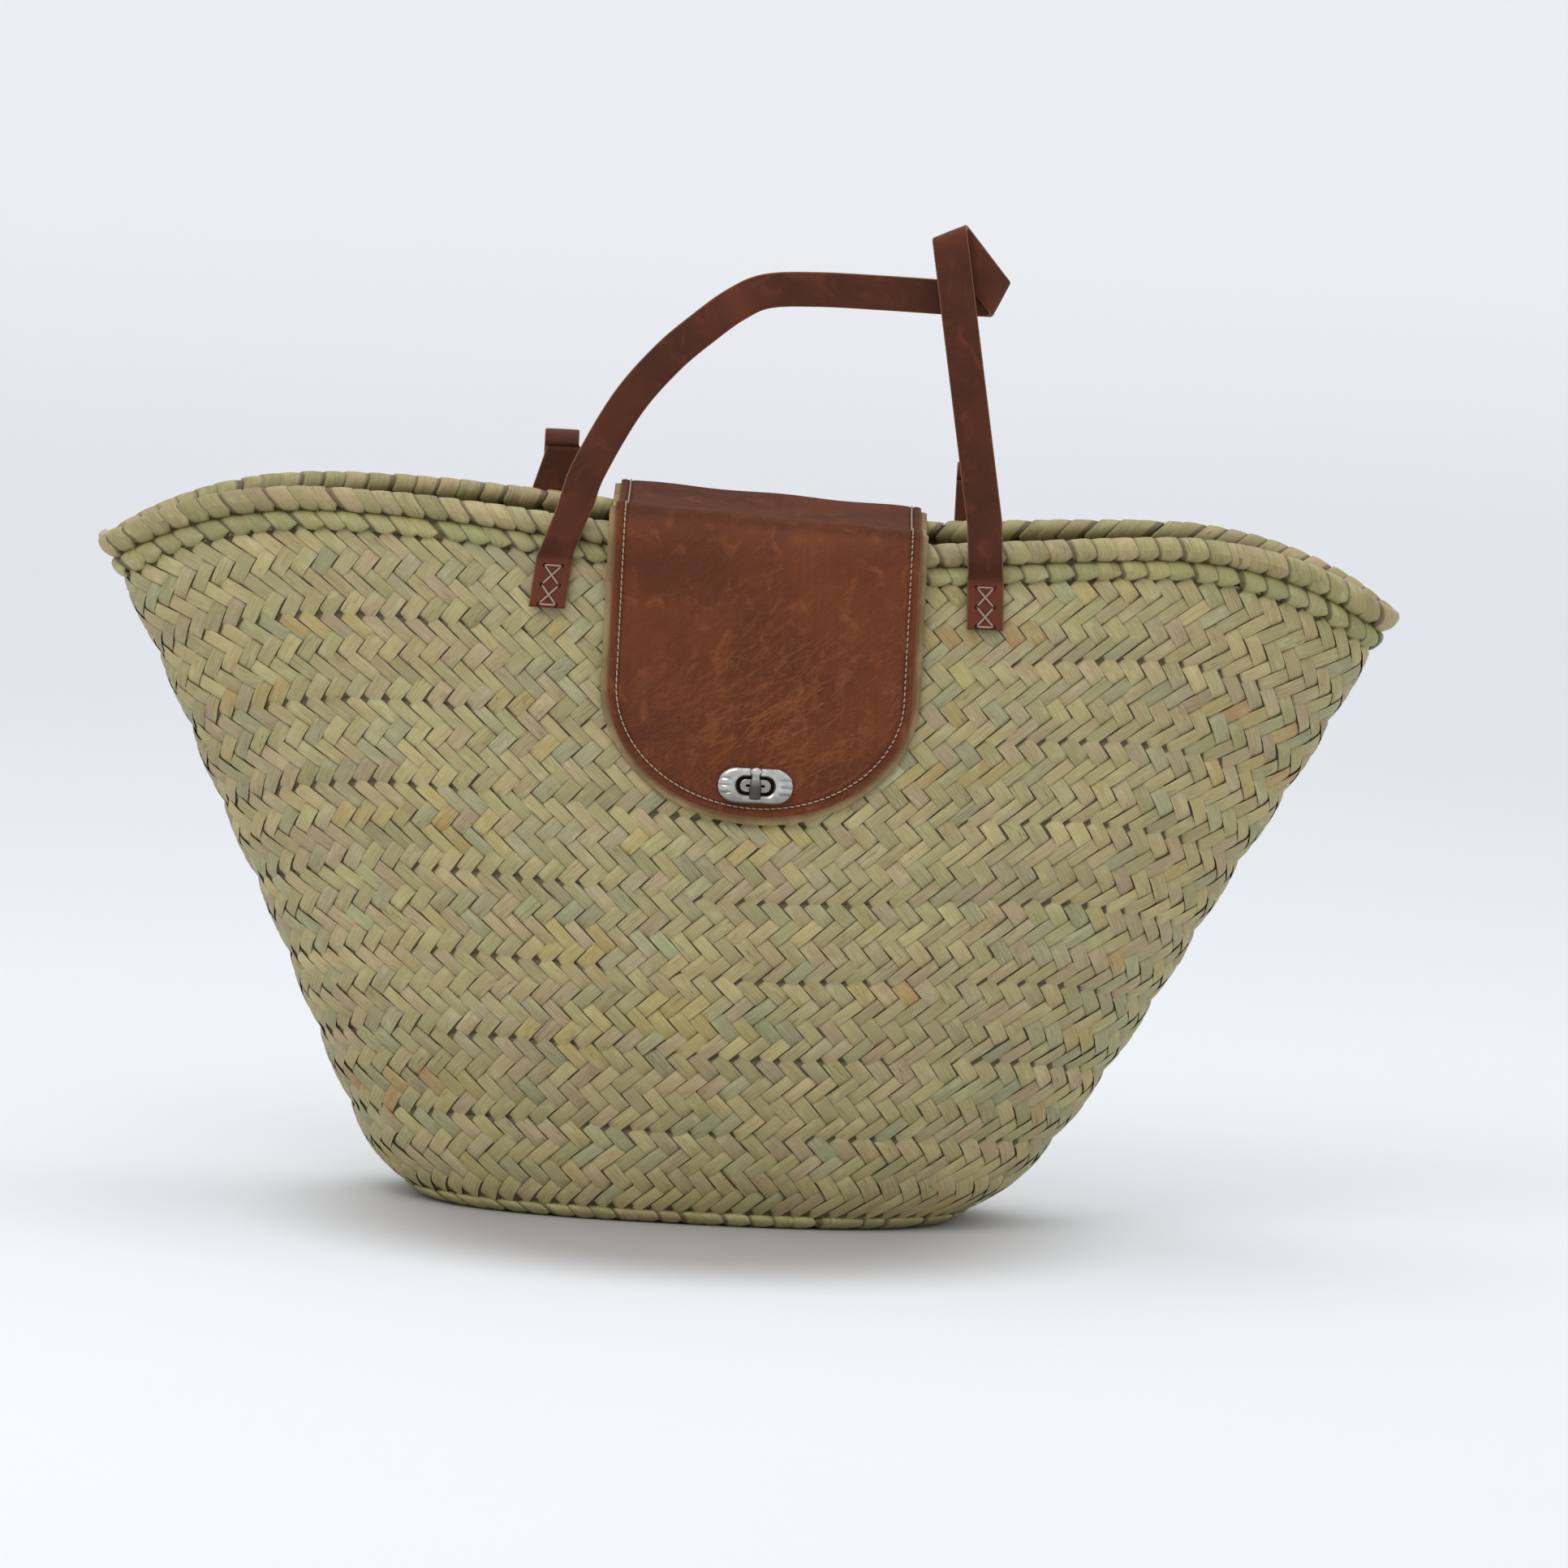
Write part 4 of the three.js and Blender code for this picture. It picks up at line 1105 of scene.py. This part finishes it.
def flap_sheet(name, low, high, half, end, middle, thick, material, soft):
    """A sheet of the flap between two runs; middle is its height and thick half its thickness."""
    pile = Pile()
    straight = PANEL_LENGTH - PANEL_ROUND
    if high > straight:
        flat = np.arange(low, straight, 1.7)
        turn = np.linspace(0, np.pi / 2, 60)
        runs = np.concatenate([flat, straight + (end - straight) * np.sin(turn)])
    else:
        runs = np.linspace(low, high, round((high - low) / 1.7))
    t = np.sin(np.linspace(-np.pi / 2, np.pi / 2, 81)) * 0.35 + np.linspace(-1, 1, 81) * 0.65
    half_at = flap_half(runs, half, end)[:, None]
    shapes = []
    tones = []
    fibres = []
    for face in (1, -1):
        share = t[None, ::face]
        x = share * half_at
        run = runs[:, None] + 0 * x
        inner = border_distance(x, run, half, end)
        round_edge = 1 - 0.45 * np.exp(-((inner / 0.8) ** 2))
        height = middle + face * thick * round_edge
        if face == 1 and soft:
            height = height - 0.4 * np.exp(-(((inner - SEAM_INSET) / 1.1) ** 2))
            height = height + 0.25 * np.exp(-(((inner - 1.9) / 1.3) ** 2))
            height = height + 0.35 * np.sin(x * 0.11 + 1) * np.sin(run * 0.07) * smooth(inner / 14)
        shapes.append(flap_point(x, run, height))
        edge = np.exp(-((inner / 0.55) ** 2)) * 0.55
        # Painted shade in the tone's alpha: darker along the seam's groove and over the band beyond the fold.
        groove = 0.35 * np.exp(-(((inner - SEAM_INSET) / 0.9) ** 2))
        crinkle = np.exp(-(((x - 14) / 46) ** 2) - (((run - 88) / 38) ** 2))
        crinkle = np.clip(crinkle + 0.16, 0, 1)
        shade = groove + 0.3 * smooth((3 - run) / 8)
        tones.append(stacked(edge, 0.0, crinkle, shade))
        fibres.append(stacked(x, run, 20.0 * face))
    points = np.concatenate(shapes, axis=1)
    faces = grid_faces(len(runs), points.shape[1], closed=True, flip=True)
    pile.add(
        points,
        faces,
        np.concatenate(tones, axis=1).reshape(-1, 4),
        np.concatenate(fibres, axis=1),
    )
    return pile.piece(name, material)


def seam_path(low, half, end):
    """Centre line of the edge seam as (x, run) pairs, from low down round the end and back."""
    straight = PANEL_LENGTH - PANEL_ROUND
    reach = half - SEAM_INSET
    turn = np.linspace(np.pi, 0, 160)
    curve = np.stack(
        [reach * np.cos(turn), straight + (end - straight - SEAM_INSET) * np.sin(turn)], -1
    )
    return np.vstack([[(-reach, low)], curve, [(reach, low)]])


def along_path(path, at):
    length = travelled(path)
    return np.stack([np.interp(at, length, path[:, k]) for k in range(2)], -1), length[-1]


def seam(name, path, pitch=2.9, size=2.25):
    pile = Pile()
    total = along_path(path, 0)[1]
    count = int(total / pitch)
    for k in range(count):
        t = np.linspace(-0.5, 0.5, 7)
        spot, _ = along_path(path, (k + 0.5) * pitch + t * size)
        slant = 0.22 * t
        height = 0.9 + 0.22 * np.cos(np.pi * t) + 0.02
        line = flap_point(spot[:, 0] + slant, spot[:, 1] + slant, height)
        add_thread(pile, line, 0.36)
    return pile.piece(name, thread)


def flap():
    half, end = 71.0, 133.0
    start = -PROFILE_LENGTH + FOLD_DROP
    middle = -80.0
    lining_half, lining_end = 73.8, 136.2
    front = flap_sheet(
        "flap_front", middle, end, half, end, 0.0, 0.9, flap_leather, True
    )
    back = flap_sheet(
        "flap_back", start, middle, half, end, 0.0, 0.9, flap_leather, True
    )
    front_lining = flap_sheet(
        "flap_front_suede", middle, lining_end, lining_half, lining_end, -1.75, 0.6, suede,
        False,
    )
    back_lining = flap_sheet(
        "flap_back_suede", start + 52, middle, lining_half, lining_end, -1.75, 0.6, suede,
        False,
    )
    front_seam = seam("flap_front_stitches", seam_path(middle + 1.5, half, end))
    edge = half - SEAM_INSET
    top, foot = middle - 1.5, start + SEAM_INSET
    back_path = np.array([(-edge, top), (-edge, foot), (edge, foot), (edge, top)])
    back_seam = seam("flap_back_stitches", back_path)
    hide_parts("flap_front_leather", "flap_bridge_leather")
    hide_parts("flap_anchor")
    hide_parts("flap_front_lining", "flap_bridge_lining")
    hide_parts("flap_front_seam")
    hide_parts("flap_anchor_seam")
    for made in (front, front_lining, front_seam):
        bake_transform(made)
    for made in (back, back_lining, back_seam):
        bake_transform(made)


# ---- turn lock


OBLONG_POINTS = 96


def oblong(length, width):
    """Points round an oblong with half-round ends."""
    count = OBLONG_POINTS
    radius = width / 2
    reach = length / 2 - radius
    turn = np.linspace(-np.pi / 2, np.pi / 2, count // 2 - 6)
    right = np.stack([reach + radius * np.cos(turn), radius * np.sin(turn)], -1)
    rows = np.vstack([right, -right])
    closed = np.vstack([rows, rows[:1]])
    length = travelled(closed)
    at = np.linspace(0, length[-1], count, endpoint=False)
    return np.stack([np.interp(at, length, closed[:, k]) for k in range(2)], -1)


def lock_point(x, y, height):
    """Where a point of the lock lies: x level, y up the panel, height out of its lining."""
    run = LOCK_DROP - y
    out = np.array([0, -math.cos(PANEL_LEAN), math.sin(PANEL_LEAN)])
    down = np.array([0, -math.sin(PANEL_LEAN), -math.cos(PANEL_LEAN)])
    origin = np.array([FLAP_X, -78.5, 325.7])
    return (
        origin
        + np.multiply.outer(run, down)
        + np.multiply.outer(height, out)
        + np.multiply.outer(x, np.array([1.0, 0, 0]))
    )


def lock_cover():
    """The plate on the flap, with grooves across both its ends."""
    plate = Pile()
    outer = oblong(35, 17)
    inner = oblong(17.4, 8.4)
    profile = [
        (0.03, 2.9), (0.0, 3.4), (0.0, 4.2), (0.03, 4.9), (0.1, 5.45), (0.2, 5.9), (0.34, 6.2),
        (0.48, 6.3), (0.62, 6.25), (0.76, 6.05), (0.88, 5.75), (0.96, 5.4), (1.0, 4.9), (1.0, 3.0),
    ]
    rings, dark = [], []
    for share, height in profile:
        flat = outer * (1 - share) + inner * share
        level = np.full(len(flat), height)
        if 0.02 < share < 0.7 and height > 4.5:
            end = smooth((np.abs(flat[:, 0]) - 10.2) / 1.6)
            for line in (-3.3, 0, 3.3):
                level -= 0.75 * end * np.exp(-(((flat[:, 1] - line) / 0.62) ** 2))
        rings.append(lock_point(flat[:, 0], flat[:, 1], level))
        # Painted shade and reflection: darker on the plate's lower half, its low outer edge, its inner rim
        # and its grooves.
        low = 0.5 * smooth(-flat[:, 1] / 8) + 0.6 * smooth((4.8 - height) / 1.2)
        dark.append(low + 0.5 * smooth((share - 0.82) / 0.15) + 0.8 * (height - level))
    tones = np.zeros((len(rings), len(outer), 4))
    tones[..., 3] = np.clip(dark, 0, 0.9)
    plate.add_rings(rings, tones.reshape(-1, 4))
    shown = plate.piece("lock_cover", nickel)
    stand_in(shown, "flap_front", "lock_plate")


def oblong_rings(shapes):
    """Oblongs of the lock, each a length, a width and a height."""
    return [
        lock_point(*oblong(long, wide).T, np.full(OBLONG_POINTS, high)) for long, wide, high in shapes
    ]


def lock_well():
    """A dark sheet under the plate's opening: painted shade in its gap."""
    well = Pile()
    rings = oblong_rings([(18.4, 9.4, 3.25), (14.0, 6.0, 3.2), (2.0, 1.0, 3.2)])
    well.add_rings(rings, [0, 0, 0, 0.95])
    shown = well.piece("lock_well", flap_leather)
    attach(shown, "flap_front")


def lock_boss():
    """The base on the wall and the boss that comes out through the flap's plate."""
    boss = Pile()
    shapes = [
        (30, 14, -2.2), (30, 14, -1.5), (14.8, 6.6, -1.4), (14.8, 6.6, 4.3), (14.3, 6.1, 4.75),
        (13.4, 5.2, 4.95), (11.6, 3.4, 5.0), (9.0, 1.2, 5.0),
    ]
    # Painted shade: the whole boss is darkened halfway towards dark grey.
    boss.add_rings(oblong_rings(shapes), [0, 0, 0, 0.5])
    shown = boss.piece("lock_boss", nickel)
    stand_in(shown, "root", "lock_base")


def lock_turn_bar():
    """The turning bar, thick at both ends, on its stem."""
    knob = Pile()
    turn = circle(24)
    stations = [
        (-7.3, 0.3), (-7.2, 0.7), (-6.9, 0.94), (-6.2, 1.06), (-4, 1.1), (-1.5, 1.08), (1.0, 0.98),
        (2.4, 0.8), (3.3, 0.7), (4.0, 0.8), (4.8, 1.06), (5.8, 1.2), (6.7, 1.06), (7.4, 0.8),
        (7.9, 0.45), (8.0, 0.12),
    ]
    rings = []
    for y, r in stations:
        rings.append(
            lock_point(2.6 * r * np.cos(turn), np.full(24, y + 1.0), 8.0 + 2.2 * r * np.sin(turn))
        )
    # Painted reflection and shade: darker on the bar's lower half and at its waist.
    tones = np.zeros((len(rings), 24, 4))
    tones[..., 3] = [
        [0.9 * smooth((3.6 - y) / 4) + 0.4 * math.exp(-((y - 3.4) ** 2))] for y, _ in stations
    ]
    knob.add_rings(rings, tones.reshape(-1, 4))
    rings = [
        lock_point(r * np.cos(turn), r * np.sin(turn), np.full(24, h))
        for r, h in ((2.6, 4.9), (2.6, 5.6), (2.1, 6.2), (1.9, 8.0))
    ]
    knob.add_rings(rings, [0, 0, 0, 0])
    shown = knob.piece("lock_turn_bar", nickel)
    stand_in(shown, "lock_knob", "lock_knob")


# ---- build


for number in range(TURNS):
    stand_in(plait_turn(number), "root", f"wall_turn_{number + 1}")
stand_in(base_plait(), "root", "base_plait")

rim_wraps = wraps(
    "rim_wraps", roll_middle, ROLL_HALF_WIDTH + 0.4, ROLL_HALF_HEIGHT + 0.4, 10.4, 6.5, 0.5, 1.1,
    palm_roll,
)
rim_cord_wraps = wraps(
    "rim_cord_wraps", cord_middle, 4.9, 4.7, 11.4, 5.8, 1.1, 0.8, palm_cord, 0.35, 12
)
foot_cord_wraps = wraps(
    "foot_cord_wraps", foot_middle, 3.5, 3.2, 10.5, 4.0, 0.6, 0.5, palm_roll, 0.2
)
cords = {"rim_roll": rim_wraps, "rim_cord": rim_cord_wraps, "base_edge_cord": foot_cord_wraps}
for node, made in cords.items():
    stand_in(made, "root", node)

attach(rim_knot(), "root")

front_ends = front_strap()
back_ends = back_strap()
for place, ends in (("front", front_ends), ("back", back_ends)):
    for side, strap_end in zip(("left", "right"), ends):
        tab_stitches(f"{place}_{side}_stitches", strap_end)
flap()
lock_cover()
lock_well()
lock_boss()
lock_turn_bar()

for node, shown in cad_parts.items():
    if node.endswith("inner_patch"):
        shown.data.materials.clear()
        shown.data.materials.append(suede)
    elif node.endswith("washer"):
        shown.data.materials.clear()
        shown.data.materials.append(nickel)


# ---- stage, light and camera


def stage():
    """A pale floor that curves up far behind, and an even sky."""
    size, reach, bend = 26.0, 11.0, 4.0
    turn = np.linspace(0, np.pi / 2, 16)
    rows = [(-size, 0.0)]
    rows += [(reach + bend * math.sin(t), bend * (1 - math.cos(t))) for t in turn]
    rows += [(reach + bend, size)]
    points = [(side * size, y, z) for y, z in rows for side in (-1, 1)]
    faces = [(2 * k, 2 * k + 1, 2 * k + 3, 2 * k + 2) for k in range(len(rows) - 1)]
    mesh = bpy.data.meshes.new("floor")
    mesh.from_pydata(points, [], faces)
    mesh.polygons.foreach_set("use_smooth", np.ones(len(faces), bool))
    mesh.materials.append(floor_material())
    floor = bpy.data.objects.new("floor", mesh)
    bpy.context.scene.collection.objects.link(floor)

    world = bpy.data.worlds.new("studio")
    bpy.context.scene.world = world
    world.use_nodes = True
    sky = world.node_tree.nodes["Background"]
    sky.inputs[0].default_value = (0.95, 0.965, 1.0, 1)
    sky.inputs[1].default_value = 0.95


def area_light(name, place, target, size, energy, color):
    light = bpy.data.lights.new(name, "AREA")
    light.shape = "RECTANGLE"
    light.size, light.size_y = size
    light.energy = energy
    light.color = color
    lamp = bpy.data.objects.new(name, light)
    lamp.location = place
    aim = Vector(target) - Vector(place)
    lamp.rotation_mode = "QUATERNION"
    lamp.rotation_quaternion = aim.to_track_quat("-Z", "Y")
    bpy.context.scene.collection.objects.link(lamp)


def camera():
    data = bpy.data.cameras.new("camera")
    distance = 6.0
    data.sensor_width = 36
    data.lens = 36 * distance / 0.7245
    shown = bpy.data.objects.new("camera", data)
    tilt = math.radians(6)
    aim = Vector((0, math.cos(tilt), -math.sin(tilt)))
    target = Vector((0.0366, -0.072, 0.2079))
    shown.location = target - aim * distance
    shown.rotation_mode = "QUATERNION"
    roll = Quaternion((0, 0, 1), math.radians(3))
    shown.rotation_quaternion = aim.to_track_quat("-Z", "Y") @ roll
    bpy.context.scene.collection.objects.link(shown)
    bpy.context.scene.camera = shown


stage()
area_light("key", (-0.7, -1.3, 1.7), (0, 0, 0.25), (1.2, 0.9), 9, (1.0, 0.985, 0.95))
area_light("top", (0.2, 0.5, 2.1), (0, 0, 0.1), (1.6, 1.2), 9, (1.0, 0.99, 0.97))
camera()
bpy.context.scene.view_settings.view_transform = "Standard"
